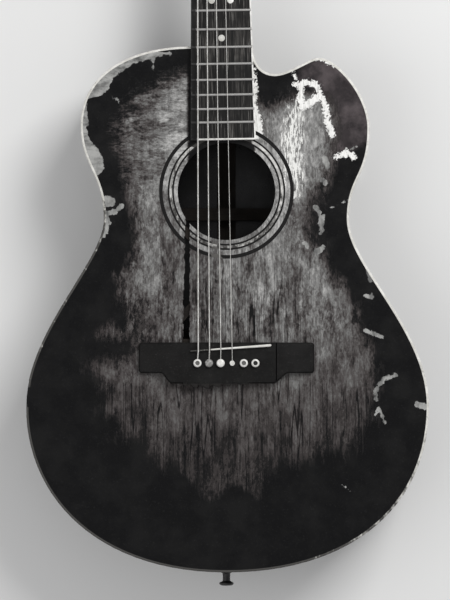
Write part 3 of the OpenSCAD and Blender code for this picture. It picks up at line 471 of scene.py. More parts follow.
# A ragged edge: a distance in millimetres, pushed in and out by noise, then cut at nought.
g, given, end = effect("ragged", {"Vector": None, "Distance": 0.0, "Swing": 4.0, "Size": 9.0,
                                  "Stretch": 1.0, "Soft": 0.5}, ["Mask"])
squeeze = g.add("CombineXYZ", {0: 1.0, 1: g.math("DIVIDE", 1.0, given["Stretch"]), 2: 1.0})
field = g.add("TexNoise", {"Vector": g.scaled(given["Vector"], squeeze), "Detail": 9.0, "Roughness": 0.68,
                           "Scale": g.math("DIVIDE", 1.0, given["Size"])})
pushed = g.plus(given["Distance"], g.times(g.minus(field, 0.5), g.times(given["Swing"], 4.0)))
end("Mask", g.between(pushed, g.times(given["Soft"], -1.0), given["Soft"]))

# Grime: soft cloudy blotches, and specks.
g, given, end = effect("grime", {"Vector": None, "Size": 20.0}, ["Mask", "Specks"])
cloud = g.add("TexNoise", {"Vector": given["Vector"], "Scale": g.math("DIVIDE", 1.0, given["Size"]),
                           "Detail": 7.0, "Roughness": 0.62})
speck = g.add("TexNoise", {"Vector": given["Vector"], "Scale": 0.8, "Detail": 2.0, "Roughness": 0.5})
end("Mask", g.between(cloud, 0.38, 0.68))
end("Specks", g.between(speck, 0.62, 0.7))


def weathered_wood(g, v, mottle, streak, cracks):
    """How light the bare wood is and its colour: the painted-on tone, swung by blotches, brushed dabs,
    streaks of grain and patches of three sizes, then darkened along cracks and hairs."""
    brush, comb = g.attribute("brush"), g.attribute("comb")
    dabs = g.noise(g.scaled(v, (0.30, 1.0, 1.0)), 5.0, 0.75, 2.6)
    swing = g.plus(g.times(g.minus(mottle, 0.5), 0.64), g.times(g.minus(dabs, 0.5), g.times(brush, 0.56)))
    swing = g.plus(swing, g.times(g.minus(streak, 0.5), g.times(comb, 0.44)))
    for size, detail, strength in ((24.0, 10.0, 0.10), (7.5, 8.0, 0.09), (1.9, 3.0, 0.075)):
        upright = g.noise(g.scaled(v, (1.0, 0.4, 1.0)), detail, 0.72, size)
        across = g.noise(g.scaled(v, (0.5, 1.0, 1.0)), detail, 0.72, size)
        patch = g.between(g.level(brush, upright, across), 0.485, 0.515, -0.5, 0.5)
        swing = g.plus(swing, g.times(patch, strength))
    light = g.plus(g.attribute("tone"), g.times(swing, g.attribute("depth")))
    light = g.minus(light, g.times(cracks, 0.20))
    hairs = g.between(g.noise(g.scaled(v, (1.0, 0.04, 1.0)), 2.0, 0.6, 3.0), 0.36, 0.41, 1.0, 0.0)
    light = g.minus(light, g.times(hairs, g.times(comb, 0.11)))
    # The finish has come away in thin layers, so the lightness goes in steps.
    light = g.level(0.75, light, g.math("SNAP", g.plus(light, 0.035), 0.07))
    bright = g.math("POWER", g.math("MINIMUM", g.greater(light, 0.09), 0.70), 2.2)
    tint = g.mix(g.between(light, 0.2, 0.42), (1.11, 0.97, 0.94), (1.01, 1.0, 0.97))
    return light, g.mix(1.0, tint, g.add("CombineColor", {0: bright, 1: bright, 2: bright}), "MULTIPLY")


def soundboard_look(g):
    """Black lacquer over brown undercoat, pale filler and grey wood, each layer's edge ragged."""
    v = g.millimetres()
    streak, fibre = g.group("grain", ("Streak", "Fibre"), Vector=v, Width=2.4)
    cloud, specks = g.group("grime", ("Mask", "Specks"), Vector=v, Size=26.0)
    mottle = g.level(g.attribute("brush"), g.noise(g.scaled(v, (1.0, 0.42, 1.0)), 12.0, 0.70, 14.0),
                     g.noise(g.scaled(v, (0.55, 1.0, 1.0)), 12.0, 0.72, 11.0))
    lines = g.noise(g.scaled(v, (1.0, 0.16, 1.0)), 4.0, 0.75, 1.5)
    cracks = g.noise(g.scaled(v, (1.0, 0.012, 1.0)), 2.0, 0.5, 16.0)
    cracks = g.between(g.math("ABSOLUTE", g.minus(cracks, 0.5)), 0.0, 0.008, 1.0, 0.0)
    cracks = g.times(cracks, g.between(g.attribute("comb"), 0.3, 0.9))
    light, wood = weathered_wood(g, v, mottle, streak, cracks)
    bare = g.between(light, 0.115, 0.165)
    brown = g.group("ragged", Vector=v, Distance=g.attribute("brown"), Swing=2.5, Size=18.0, Soft=1.6)
    pale = g.group("ragged", Vector=v, Distance=g.attribute("pale"), Swing=2.0, Size=5.0, Soft=0.25)
    white = g.group("ragged", Vector=v, Distance=g.attribute("white"), Swing=3.4, Size=2.4, Soft=0.25)
    streaky = g.attribute("streaky")
    thin = g.between(g.plus(lines, g.times(streaky, 0.012)), 0.555, 0.585)
    thin = g.times(thin, g.between(streaky, -3.0, -0.5))
    black = g.mix(g.times(cloud, 0.5), (0.004, 0.004, 0.0043), (0.0085, 0.0083, 0.0081))
    black = g.mix(g.times(specks, 0.08), black, (0.10, 0.10, 0.095))
    undercoat = g.mix(g.plus(g.times(cloud, 0.7), g.minus(mottle, 0.35)),
                      (0.017, 0.0148, 0.0156), (0.092, 0.077, 0.079))
    filler = g.mix(g.between(mottle, 0.35, 0.62), (0.085, 0.085, 0.083), (0.34, 0.34, 0.327))
    chalk = g.mix(g.between(lines, 0.3, 0.55), (0.42, 0.42, 0.40), (0.80, 0.795, 0.77))
    colour = g.mix(bare, g.mix(brown, black, undercoat), wood)
    colour = g.mix(thin, g.mix(pale, colour, filler), (0.72, 0.72, 0.69))
    colour = g.mix(white, colour, chalk)
    opened = g.greater(g.greater(bare, pale), white)
    fibres = g.times(g.plus(fibre, g.times(cracks, -2.0)), g.times(bare, 0.2))
    relief = g.plus(g.times(g.minus(1.0, opened), 0.16), fibres)
    rough = g.mix(opened, g.grey(cloud, 0.26, 0.42), (0.8, 0.8, 0.8))
    return {"Base Color": colour, "Roughness": rough, "Height": (relief, 0.001)}


worn_soundboard = finish("worn_soundboard", soundboard_look, Specular_IOR_Level=0.12)
fields = dict(tone=tone * fade, depth=calm * np.clip(0.35 + fade, 0, 1) * (bare > -9), brown=brown,
              pale=pale, white=white, streaky=streaky, brush=brush, comb=comb)
piece("top_plate", plate_over(P, F, height, -top_t), ON_TOP, worn_soundboard, "worn_top",
      stands_for=["soundboard"], **{key: np.tile(value, 2) for key, value in fields.items()})


# ---- Back. A flat plate of black-lacquered wood glued under the sides. The lacquer of the back, sides, neck
# and head is glossy, clouded with dust, scuffed, and chipped to a pale layer, most of all along edges.
def lacquer(chipped_edges):
    """Black lacquer. A point attribute "edge", millimetres from an edge, decides where chips gather."""
    def look(g):
        v = g.millimetres()
        cloud, specks = g.group("grime", ("Mask", "Specks"), Vector=v, Size=34.0)
        scuffs = g.noise(g.scaled(v, (1.0, 0.06, 0.5)), 3.0, 0.6, 2.2)
        scuffs = g.times(g.between(scuffs, 0.66, 0.72), cloud)
        colour = g.mix(cloud, (0.006, 0.006, 0.0065), (0.013, 0.0125, 0.012))
        colour = g.mix(g.times(specks, 0.12), colour, (0.10, 0.10, 0.095))
        colour = g.mix(g.times(scuffs, 0.5), colour, (0.10, 0.098, 0.092))
        deep = g.minus(-0.6, g.attribute("edge")) if chipped_edges else -6.2
        chips = g.group("ragged", Vector=v, Distance=deep, Swing=5.0, Size=12.0, Soft=0.25)
        colour = g.mix(chips, colour, g.mix(cloud, (0.12, 0.118, 0.11), (0.30, 0.295, 0.28)))
        rough = g.mix(g.greater(chips, scuffs), g.grey(cloud, 0.22, 0.42), (0.75, 0.75, 0.75))
        return {"Base Color": colour, "Roughness": rough, "Height": (g.times(chips, -0.15), 0.001)}
    return look


def dress(material, *names):
    """Puts a finish on CAD nodes that keep their own mesh."""
    for name in names:
        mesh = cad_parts[name].data
        mesh.materials.clear()
        mesh.materials.append(material)


black_lacquer = finish("black_lacquer", lacquer(False), Specular_IOR_Level=0.25)
black_lacquer_chipped = finish("black_lacquer_chipped", lacquer(True), Specular_IOR_Level=0.25)
dress(black_lacquer, "back_plate")


# ---- Sides. Two thin walls of black-lacquered wood, bent to the outline between the bindings. They meet at
# the tail, and their other ends run on behind the heel, hidden in the neck joint.
def floor_z(y, world_z=0.0):
    """The height in the soundboard's frame at which the level plane world_z lies under a point."""
    return (world_z - top_z + y * np.sin(tilt)) / np.cos(tilt)


def sheet_of(grid, around=False):
    """A surface through a grid of points (U, V, 3). Where it runs around, its last column joins its first."""
    U, V = grid.shape[:2]
    i, j = np.meshgrid(np.arange(U - 1), np.arange(V if around else V - 1), indexing="ij")
    b = (j + 1) % V
    faces = np.stack([i * V + j, (i + 1) * V + j, (i + 1) * V + b, i * V + b], -1).reshape(-1, 4)
    return grid.reshape(-1, 3), faces


def beam(rows):
    """A solid skinned over rows (U, V, 3) of an even number of points around, with flat ends."""
    U, V = rows.shape[:2]
    points, faces = sheet_of(rows, around=True)
    i = np.arange(V // 2 - 1)
    cap = np.stack([i, i + 1, V - 2 - i, V - 1 - i], 1)
    return points, np.concatenate([faces, cap[:, ::-1], cap + (U - 1) * V])


wall_top, wall_foot = -6.0, 6.0  # the first under the soundboard's face, the second above the floor
edge_steps, rise_steps = 26, np.linspace(0, 1, 9)
outer, inner = body_edge(edge_steps), body_edge(edge_steps, plate_inset)
tail_at = 1 + edge_steps * 4
bass_run, treble_run = np.arange(1, tail_at + 1), np.append(np.arange(tail_at, len(outer)), 0)
for side, run in (("bass", bass_run), ("treble", treble_run)):
    rows = []
    for loop, rise in ((outer, rise_steps), (inner, rise_steps[::-1])):
        xy = loop[run]
        xy = np.vstack([(-8, xy[0, 1]), xy]) if side == "bass" else np.vstack([xy, (-1, xy[-1, 1])])
        low = floor_z(xy[:, 1], wall_foot)
        rows += [np.column_stack([xy, low + (wall_top - low) * t]) for t in rise]
    rows = np.stack(rows, 1)
    edge = np.minimum(wall_top - rows[:, :, 2], rows[:, :, 2] - floor_z(rows[:, :, 1], wall_foot))
    piece(f"{side}_wall", beam(rows), ON_TOP, black_lacquer_chipped, "black_lacquer",
          stands_for=[f"{side}_side"], edge=edge.ravel())


# ---- Bindings. Strips of cream plastic let into the body's edges, their outer corner rounded, darker towards
# the tail, and darker on the bass side with painted shade. A length is gone from the top edge of the bass
# lower bout.
def aged_plastic(base, worn, grime, use_clean):
    """Yellowed plastic or bone. A point attribute "brightness", nought to one, decides where it darkens: with
    dirt, and on the bindings and the rosette's pale ring also with painted shade.
    """
    def look(g):
        v = g.millimetres()
        cloud, specks = g.group("grime", ("Mask", "Specks"), Vector=v, Size=9.0)
        # The grime colour stands for dirt, and where brightness is low on the bindings and the rosette's pale
        # ring it is also painted shade.
        deep = g.times(g.minus(0.62, g.attribute("clean")), 4.5) if use_clean else -1.6
        dirt_and_shade = g.group("ragged", Vector=v, Distance=deep, Swing=2.2, Size=4.0, Stretch=2.0, Soft=1.0)
        colour = g.mix(dirt_and_shade, g.mix(cloud, worn, base), grime)
        return {"Base Color": g.mix(g.times(specks, 0.4), colour, grime),
                "Roughness": g.grey(dirt_and_shade, 0.38, 0.75),
                "Height": (g.plus(g.times(dirt_and_shade, 0.06), g.times(cloud, 0.04)), 0.001)}
    return look


binding_plastic = finish(
    "binding_plastic", aged_plastic((0.70, 0.69, 0.65), (0.52, 0.51, 0.47), (0.052, 0.050, 0.046), True),
    Specular_IOR_Level=0.35)


def cleanness(xy):
    """How bright the binding is at each point, by its bearing from the body's middle, nought at the neck:
    darker towards the tail, and darker on the bass side with painted shade.
    """
    bearing = np.degrees(np.arctan2(xy[:, 0], xy[:, 1] + 110))
    return np.interp(bearing,
                     [-180, -150, -120, -100, -80, -62, -52, -45, 60, 105, 120, 138, 155, 168, 180],
                     [.02, .12, .22, .30, .36, .38, .62, 1, 1, .95, .85, .62, .40, .12, .02])


binding_section = [(2.2, -6.0), (0.0, -6.0), (0.0, -3.4), (0.0, -0.9), (0.12, -0.45), (0.42, -0.12),
                   (0.9, 0.0), (2.2, 0.0)]  # inset from the edge, and height
gone_top, gone_foot, gone_side = -188, -208, -150
splinter = np.array([0.8, 0.3, -0.4, 0.5, 0.1, -0.3, 0.6, 0.2])[:, None]
for name, node, low_edge in (("binding_top", "top_binding", False), ("binding_back", "back_binding", True)):
    rows = []
    for inset, z in binding_section:
        xy = body_edge(edge_steps, inset)
        rows.append(np.column_stack([xy, floor_z(xy[:, 1], -z) if low_edge else np.full(len(xy), z)]))
    rows = np.stack(rows, 1)
    if low_edge:
        rows = np.concatenate([rows, rows[:1]])[:, ::-1]
    else:
        x, y = rows[:, 1, 0], rows[:, 1, 1]
        start = np.where((x < gone_side) & (y < gone_foot))[0][0]
        stop = np.where((x < gone_side) & (y > gone_top))[0][-1]
        before, after = rows[stop].copy(), rows[start].copy()
        before[:, 1:2], after[:, 1:2] = gone_top - splinter, gone_foot + splinter
        rows = np.concatenate([[after], rows[start:], rows[:stop + 1], [before]])
    clean = cleanness(rows[:, 1, :2]) * (0.55 if low_edge else 1)
    piece(name, beam(rows), ON_TOP, binding_plastic, "cream_binding", stands_for=[node],
          clean=np.repeat(clean, rows.shape[1]))


# ---- Rosette. One pale and three dark rings of plastic let into the soundboard around its hole, broken by
# the split and worn to bare wood at its foot; above the hole the pale ring is painted dark as shadow of the
# fingerboard.
def dark_inlay_look(g):
    v = g.millimetres()
    deep = g.times(g.minus(g.attribute("worn"), 0.5), 5.0)
    worn = g.group("ragged", Vector=v, Distance=deep, Swing=2.0, Size=4.0, Soft=0.5)
    black = g.mix(g.noise(v, 4.0, 0.6, 3.0), (0.004, 0.004, 0.004), (0.014, 0.0135, 0.013))
    return {"Base Color": g.mix(worn, black, (0.10, 0.096, 0.09)), "Roughness": g.grey(worn, 0.45, 0.85),
            "Height": (worn, 0.0001)}


dark_inlay = finish("rosette_dark", dark_inlay_look, Specular_IOR_Level=0.1)
pale_inlay = finish(
    "rosette_pale", aged_plastic((0.66, 0.65, 0.62), (0.34, 0.335, 0.32), (0.045, 0.043, 0.04), True),
    Specular_IOR_Level=0.3)
inlay_foot, inlay_gap, inlay_steps = -1.18, 0.02, 200


def inlay_ring(r0, r1):
    """Rows of a flat ring from one side of the split round to the other, a hair clear of its channel."""
    low, high = r0 + inlay_gap, r1 - inlay_gap
    section = ((low, inlay_foot), (high, inlay_foot), (high, -0.1), (r1 - 0.12, 0.02), (r0 + 0.12, 0.02),
               (low, -0.1))
    return np.stack([np.column_stack([ring_loop(r, inlay_steps), np.full(inlay_steps, z)])
                     for r, z in section], 1)


def rows_of(*shapes):
    """Joins (points, faces) pairs into one."""
    starts = np.cumsum([0] + [len(points) for points, faces in shapes[:-1]])
    return (np.concatenate([points for points, faces in shapes]),
            np.concatenate([faces + start for (points, faces), start in zip(shapes, starts)]))


shapes, worn = [], []
for r0, r1, wear in ((*RINGS[:2], 0.9), (*RINGS[2:4], 0.9), (*RINGS[4:], 1.6)):
    rows = inlay_ring(r0, r1)
    x, y = rows[:, 0, 0], rows[:, 0, 1]
    shapes.append(beam(rows))
    worn.append(np.repeat(np.clip(1 - abs(x + 11) / 8, 0, 1) * (y < 0) * wear, rows.shape[1]))
piece("rosette_dark", rows_of(*shapes), ON_TOP, dark_inlay, "black_inlay", stands_for=["rosette_dark_rings"],
      worn=np.concatenate(worn))
rows = inlay_ring(*RINGS[1:3])
bearing = np.degrees(np.arctan2(rows[:, 0, 0], rows[:, 0, 1]))
# Where this is nought, above the hole in line with the fingerboard, the ring is painted dark as shadow of the
# fingerboard.
clean = np.interp(bearing, [-180, -150, -100, -60, -36, -34, 27, 29, 60, 100, 140, 180],
                  [.5, .55, .6, .62, .66, 0, 0, 1, .95, .62, .6, .45])
piece("rosette_pale", beam(rows), ON_TOP, pale_inlay, "cream_binding", stands_for=["rosette_pale_ring"],
      clean=np.repeat(clean, rows.shape[1]))


# ---- Bridge. One block of dark hardwood glued to the soundboard, thinned towards its wing tips, its edges
# rounded by hand. The belly's rear edge has splintered, and a crack runs by the treble wing.
def scoop(p, q):
    """Seven points of a half cosine between two corners."""
    t = np.arange(1, 8)[:, None] / 8
    return np.hstack([p[0] + (q[0] - p[0]) * t, p[1] + (q[1] - p[1]) * (1 - np.cos(np.pi * t)) / 2])


wing_end, crown_z, crack_x = 84.3, 8.8, 47.75
splinters = loop_of(
    -42, -185, -39.7, -187.8, -36, -185.4, -28.7, -189.6, -26.5, -185.8, -18.2, -190.4, -15.6, -186,
    -7.2, -189, -4.2, -185.6, 2.8, -187.8, 5.5, -185.2, 19, -186.2, 21, -185)
bridge_loop = np.vstack([
    [(-wing_end, -147.7), (-wing_end, -173), (-82.3, -175), (-63.3, -175)],
    scoop((-63.3, -175), (-52.5, -185)), [(-52.5, -185)], splinters,
    [(44.5, -185)], scoop((44.5, -185), (60.3, -175)),
    [(60.3, -175), (82.3, -175), (wing_end, -173), (wing_end, -147.7), (82.3, -145.7), (-82.3, -145.7)]])


def in_belly(P, y, half):
    """Near the splintered stretch of the belly's rear edge."""
    return (P[:, 1] < y) & (abs(P[:, 0] + 10) < half)


x, y = np.meshgrid(np.arange(-84, 85, 1.0), np.arange(-190, -145, 0.9))
loose = np.stack([x.ravel() + 0.2 * steady(y.ravel() * 2), y.ravel()], 1)
loose = loose[(reach(loose, bridge_loop, closed=True) > 0.9) & (abs(loose[:, 0] - crack_x) > 0.9)]
y = np.tile(np.arange(-181, -145.2, 1.1), 3)
crack = np.column_stack([np.repeat(crack_x + np.array([-0.55, 0, 0.55]), len(y) // 3), y])
crack[:, 0] += 0.12 * steady(y * 1.1)
crack = crack[reach(crack, bridge_loop, closed=True) > 0.1]
rim = np.concatenate([np.linspace(a, b, max(2, int(np.linalg.norm(b - a) / 0.7) + 1))[:-1]
                      for a, b in zip(bridge_loop, np.roll(bridge_loop, -1, 0))])
rim[:, 1] += np.where(in_belly(rim, -184.9, 31.5), 0.45 * steady(rim[:, 0] * 5.3, 2.0), 0)
ids = np.arange(len(rim))
P, F = sheet_through(np.concatenate([rim, loose, crack]), np.stack([ids, np.roll(ids, -1)], 1),
                     lambda middles: inside(middles, bridge_loop))
depth = reach(P, bridge_loop, closed=True)
wing = np.clip((abs(P[:, 0]) - 52) / 33.3, 0, 1)
round_r = np.where(in_belly(P, -183, 32), 0.7, 1.5)
short = np.clip(round_r - depth, 0, round_r)
torn = np.clip((-183.5 - P[:, 1]) / 3, 0, 1)
crown = crown_z - 4.2 * (1 - np.cos(np.pi * wing)) / 2
crown -= round_r - np.sqrt(np.clip(round_r ** 2 - short ** 2, 0, None))
crown -= np.where((abs(P[:, 0] - crack_x) < 0.35) & (depth > 0.3), 2.0, 0)
crown += torn * (0.35 * steady(P[:, 0] * 1.7) - 0.4)


def bridge_look(g):
    """Near-black wood: fine grain along the wings, dust in the pores, paler where it is torn."""
    v = g.millimetres()
    pores = g.noise(g.scaled(v, (0.07, 1.0, 0.6)), 4.0, 0.7, 0.9)
    cloud, specks = g.group("grime", ("Mask", "Specks"), Vector=v, Size=14.0)
    colour = g.mix(pores, (0.003, 0.003, 0.003), (0.0095, 0.009, 0.0086))
    colour = g.mix(g.times(cloud, 0.25), colour, (0.022, 0.0212, 0.0205))
    colour = g.mix(g.times(specks, 0.12), colour, (0.12, 0.118, 0.11))
    deep = g.times(g.minus(g.attribute("torn"), 0.55), 3.0)
    split = g.group("ragged", Vector=v, Distance=deep, Swing=1.2, Size=1.6, Soft=0.4)
    return {"Base Color": g.mix(split, colour, (0.017, 0.0158, 0.0148)),
            "Roughness": g.grey(cloud, 0.45, 0.62), "Height": (pores, 0.00008)}


bridge_wood = finish("bridge_hardwood", bridge_look, Specular_IOR_Level=0.1)
piece("bridge_block", plate_over(P, F, crown, 0.0), ON_TOP, bridge_wood, "dark_hardwood",
      stands_for=["bridge"], torn=np.tile(torn, 2))

# ---- Saddle. A strip of bone standing in a slanting slot in the bridge, its crown rounded, worn to a
# sliver at the bass end.
bone = finish("bone", aged_plastic((0.74, 0.735, 0.70), (0.50, 0.49, 0.45), (0.10, 0.095, 0.085), False),
              Specular_IOR_Level=0.4)
saddle_bone = finish(
    "bone_darkened", aged_plastic((0.80, 0.79, 0.76), (0.60, 0.59, 0.55), (0.05, 0.048, 0.043), True),
    Specular_IOR_Level=0.4)
saddle_bass, saddle_treble, saddle_top = np.array([-34.5, -154.1]), np.array([41.8, -148.6]), 11.8
t = np.linspace(0, 1, 80)[:, None]
along = (saddle_treble - saddle_bass) / np.linalg.norm(saddle_treble - saddle_bass)
sideways = np.array([-along[1], along[0]])
round_end = np.sqrt(np.clip(1 - np.clip((t - 0.985) / 0.016, 0, 1) ** 2, 0.04, 1))
half = (0.6 + 0.65 * t) * round_end
centre = saddle_bass + (saddle_treble - saddle_bass + along * 1.2) * t
rows = []
for s, z in ((-1, 4.3), (-1, 10.6), (-0.92, 11.25), (-0.62, 11.65), (-0.2, saddle_top), (0.2, saddle_top),
             (0.62, 11.65), (0.92, 11.25), (1, 10.6), (1, 4.3)):
    wear = (z > 11) * (0.12 * steady(t[:, 0] * 31) + 0.25 * (t[:, 0] < 0.04))
    rows.append(np.column_stack([centre + s * half * sideways, z - wear]))
# The bone is darker towards the bass end.
clean = np.interp(t[:, 0], [0, 0.22, 0.42, 1], [0.35, 0.5, 1, 1])
piece("saddle_bone", beam(np.stack(rows, 1)[:, ::-1]), ON_TOP, saddle_bone, "bone", stands_for=["saddle"],
      clean=np.repeat(clean, len(rows)))


# ---- Bridge pins. Six turned pins pushed into the bridge over the string ends. Three have lost the dots
# from their heads, one is dull with dirt, one is clean, and the fourth has snapped off to a shard.
def pin_look(g):
    v = g.millimetres()
    cloud, specks = g.group("grime", ("Mask", "Specks"), Vector=v, Size=2.5)
    pit = g.between(g.attribute("pit"), 0.35, 0.65)
    bright = g.mix(cloud, (0.62, 0.61, 0.58), (0.82, 0.81, 0.78))
    dull = g.mix(cloud, (0.05, 0.049, 0.047), (0.24, 0.235, 0.225))
    hollow = g.mix(g.attribute("dark"), (0.10, 0.098, 0.094), (0.008, 0.008, 0.008))
    return {"Base Color": g.mix(pit, g.mix(g.attribute("dull"), bright, dull), hollow),
            "Roughness": g.grey(pit, 0.32, 0.8), "Height": (cloud, 0.00003)}


def as_triangles(shape):
    """Each four-sided face cut along one diagonal."""
    points, f = shape
    return points, (f if f.shape[1] == 3 else np.concatenate([f[:, [0, 1, 2]], f[:, [0, 2, 3]]]))


def lathe(profile, n=48):
    """A closed profile of (radius, height) points turned about z. Ends on the axis close to one point."""
    p = np.array(profile, float)
    a = np.linspace(0, 2 * np.pi, n, endpoint=False)
    ends = [p[0, 0] == 0, p[-1, 0] == 0]
    core = p[int(ends[0]):len(p) - int(ends[1])]
    grid = np.stack([np.outer(core[:, 0], np.cos(a)), np.outer(core[:, 0], np.sin(a)),
                     np.repeat(core[:, 1:], n, 1)], -1)
    points, faces = sheet_of(grid, around=True)
    faces = [as_triangles((points, faces[:, ::-1]))[1]]
    k, last = np.arange(n), (len(core) - 1) * n
    for at_end, row, z in ((ends[0], 0, p[0, 1]), (ends[1], last, p[-1, 1])):
        if at_end:
            points = np.vstack([points, [0, 0, z]])
            fan = np.stack([row + k, row + (k + 1) % n, np.full(n, len(points) - 1)], 1)
            faces.append(fan[:, ::-1] if row == 0 else fan)
    faces = np.concatenate(faces)
    return points, faces[:, ::-1] if p[-1, 1] < p[0, 1] else faces


pin_bone = finish("pin_bone", pin_look, Specular_IOR_Level=0.4)
pin_step, pin_y, pin_r = 11.1, -165.6, 2.45
pin_foot = [(0, -11), (1.2, -11), (1.5, -10.7), (pin_r, -8), (pin_r, 8.8)]
pin_head = [(pin_r, 10.45), (2.9, 10.55), (3.75, 10.8), (3.9, 11.1), (3.88, 11.6), (3.6, 12.1), (3.1, 12.6),
            (2.4, 12.95)]
pin_crown = [(1.6, 13.1), (0.8, 13.18), (0, 13.2)]
pin_pit = [(2.2, 12.85), (2.1, 12.4), (1.2, 12.2), (0, 12.15)]
pin_break = [(pin_r, 9.6), (2.2, 9.7), (1.2, 9.7), (0, 9.7)]
shapes, pit, dull, dark = [], [], [], []
for k, (pitted, dulled, darkened) in enumerate(((1, 0.0, 0), (0, 0.85, 0), (0, 0.0, 0), (0, 0.1, 0),
                                                (1, 0.0, 0), (1, 0.0, 1))):
    snapped = k == 3
    p, f = lathe(pin_foot + (pin_break if snapped else pin_head + (pin_pit if pitted else pin_crown)), 40)
    if snapped:
        shard = 1.5 * (abs(p[:, 0] - 0.3) / pin_r) ** 1.3 + 0.25 * steady(p[:, 0] * 5 + p[:, 1] * 3) - 0.3
        p[:, 2] += (p[:, 2] > 9) * shard
    pit.append(((np.linalg.norm(p[:, :2], axis=1) < 2.15) & (p[:, 2] > 12)) * float(pitted))
    dull.append(np.full(len(p), dulled))
    dark.append(np.full(len(p), float(darkened)))
    shapes.append((p + [(k - 2.5) * pin_step, pin_y, 0], f))
piece("pins", rows_of(*shapes), ON_TOP, pin_bone, "bone", stands_for=["bridge_pins"],
      pit=np.concatenate(pit), dull=np.concatenate(dull), dark=np.concatenate(dark))


# ---- End pin. A turned black plastic strap button on a plain shank, pushed into the tail block half-way
# down the tail.
def black_plastic_look(g):
    cloud = g.group("grime", Vector=g.millimetres(), Size=8.0)
    return {"Base Color": g.mix(cloud, (0.008, 0.008, 0.008), (0.035, 0.034, 0.033)),
            "Roughness": g.grey(cloud, 0.3, 0.6)}


black_plastic = finish("black_plastic", black_plastic_look, Specular_IOR_Level=0.35)
button_profile = [
    (0, -20), (3.9, -20), (4.4, -19.2), (4.4, 0.1), (7.1, 0.1), (7.4, 0.5), (7.35, 1.5), (6.4, 2.1),
    (4.6, 2.7), (3.7, 3.8), (3.55, 6), (3.55, 9), (3.75, 10.6), (5.0, 11.5), (6.5, 12.0), (6.95, 12.6),
    (7.0, 13.3), (6.6, 14.2), (5.5, 14.9), (3.6, 15.3), (1.2, 15.2), (1.0, 14.7), (0, 14.6)]
piece("end_pin_turned", lathe(button_profile),
      ON_TOP @ Matrix.Translation((0, -tail_reach, -60)) @ turned("X", 90), black_plastic, "black_plastic",
      stands_for=["end_pin"])


# ---- Neck. One carved piece of black-lacquered hardwood: heel, D-shaped shaft and a paddle head that leans
# back. The heel is glued against the body's neck block, and its foot stops just above the floor.
SADDLE_Y, NUT_Y, HEAD_Y, neck_turn, head_lean = -150.7, 499.3, 504.3, 0.9, -14
to_saddle = Matrix.Translation((0, SADDLE_Y, 0))
ON_NECK = ON_TOP @ to_saddle @ turned("Z", neck_turn) @ to_saddle.inverted()
ON_HEAD = ON_NECK @ Matrix.Translation((0, HEAD_Y, 0)) @ turned("X", head_lean)
head_t, floor_gap = 14, 4.0


def board_w(y):
    """The fingerboard's width at a distance along the neck."""
    return 46 + 13.5 * (NUT_Y - y) / (NUT_Y - neck_reach)


def head_loop(low, n=11):
    """The head's outline: shoulders that swell in a quarter sine from the neck's width, straight sides
    that spread, and an arched end, half a cosine wave."""
    w = board_w(HEAD_Y) / 2
    t = np.linspace(0, 1, n)[:, None]
    shoulder = np.hstack([w + (27 - w) * np.sin(t * np.pi / 2), 2 + 12 * (1 - np.cos(t * np.pi / 2))])
    s = np.linspace(0, 1, 12)[1:-1, None]
    sides = np.hstack([27 + 9 * s, 14 + 152 * s])
    x = np.linspace(1, -1, 31)[:, None]
    end = np.hstack([36 * x, 166 + 6 * np.cos(x * np.pi / 2)])
    right = np.vstack([[w, low], shoulder, sides])
    return np.vstack([right, end, right[::-1] * [-1, 1]])


def slab(loop, levels):
    """A solid over a star-shaped outline: a ring of points at each (inset, height), closed by a fan below
    and above. Insets under 5 mm run square to the outline; deeper ones run towards its middle."""
    e = np.roll(loop, -1, 0) - np.roll(loop, 1, 0)
    middle = loop.mean(0)
    inward = np.stack([-e[:, 1], e[:, 0]], 1) / np.linalg.norm(e, axis=1)[:, None]
    central = (middle - loop) / np.linalg.norm(middle - loop, axis=1)[:, None]
    rows = [np.column_stack([loop + d * (inward if d < 5 else central), np.full(len(loop), z)])
            for d, z in levels]
    points, faces = as_triangles(sheet_of(np.stack(rows), around=True))
    n, k = len(loop), np.arange(len(loop))
    points = np.vstack([points, [*middle, levels[0][1]], [*middle, levels[-1][1]]])
    last = (len(levels) - 1) * n
    below = np.stack([k, np.full(n, len(points) - 2), (k + 1) % n], 1)
    above = np.stack([last + k, last + (k + 1) % n, np.full(n, len(points) - 1)], 1)
    return points, np.concatenate([faces[:, ::-1], below[:, ::-1], above])


heel_y = [139.2, 142, 147, 152, 156.5, 159, 161, 163.5, 166.5, 170, 174, 179, 185, 192, 201, 212, 226]
y = np.concatenate([heel_y, np.linspace(245, 506, 24)])
depth = np.interp(y, [139, 157, 160, 163, 167, 173, 181, 190, 201, 216, 506.3],
                  [101.8, 99.8, 83, 66, 51.5, 38, 29.6, 24, 20.4, 18, 15])
a, x = np.linspace(0, -np.pi, 41), np.linspace(-0.9, 0.9, 9)
half = board_w(y) / 2
rows = np.stack([np.outer(half, np.cos(a)), np.repeat(y[:, None], len(a), 1), np.outer(depth, np.sin(a))], -1)
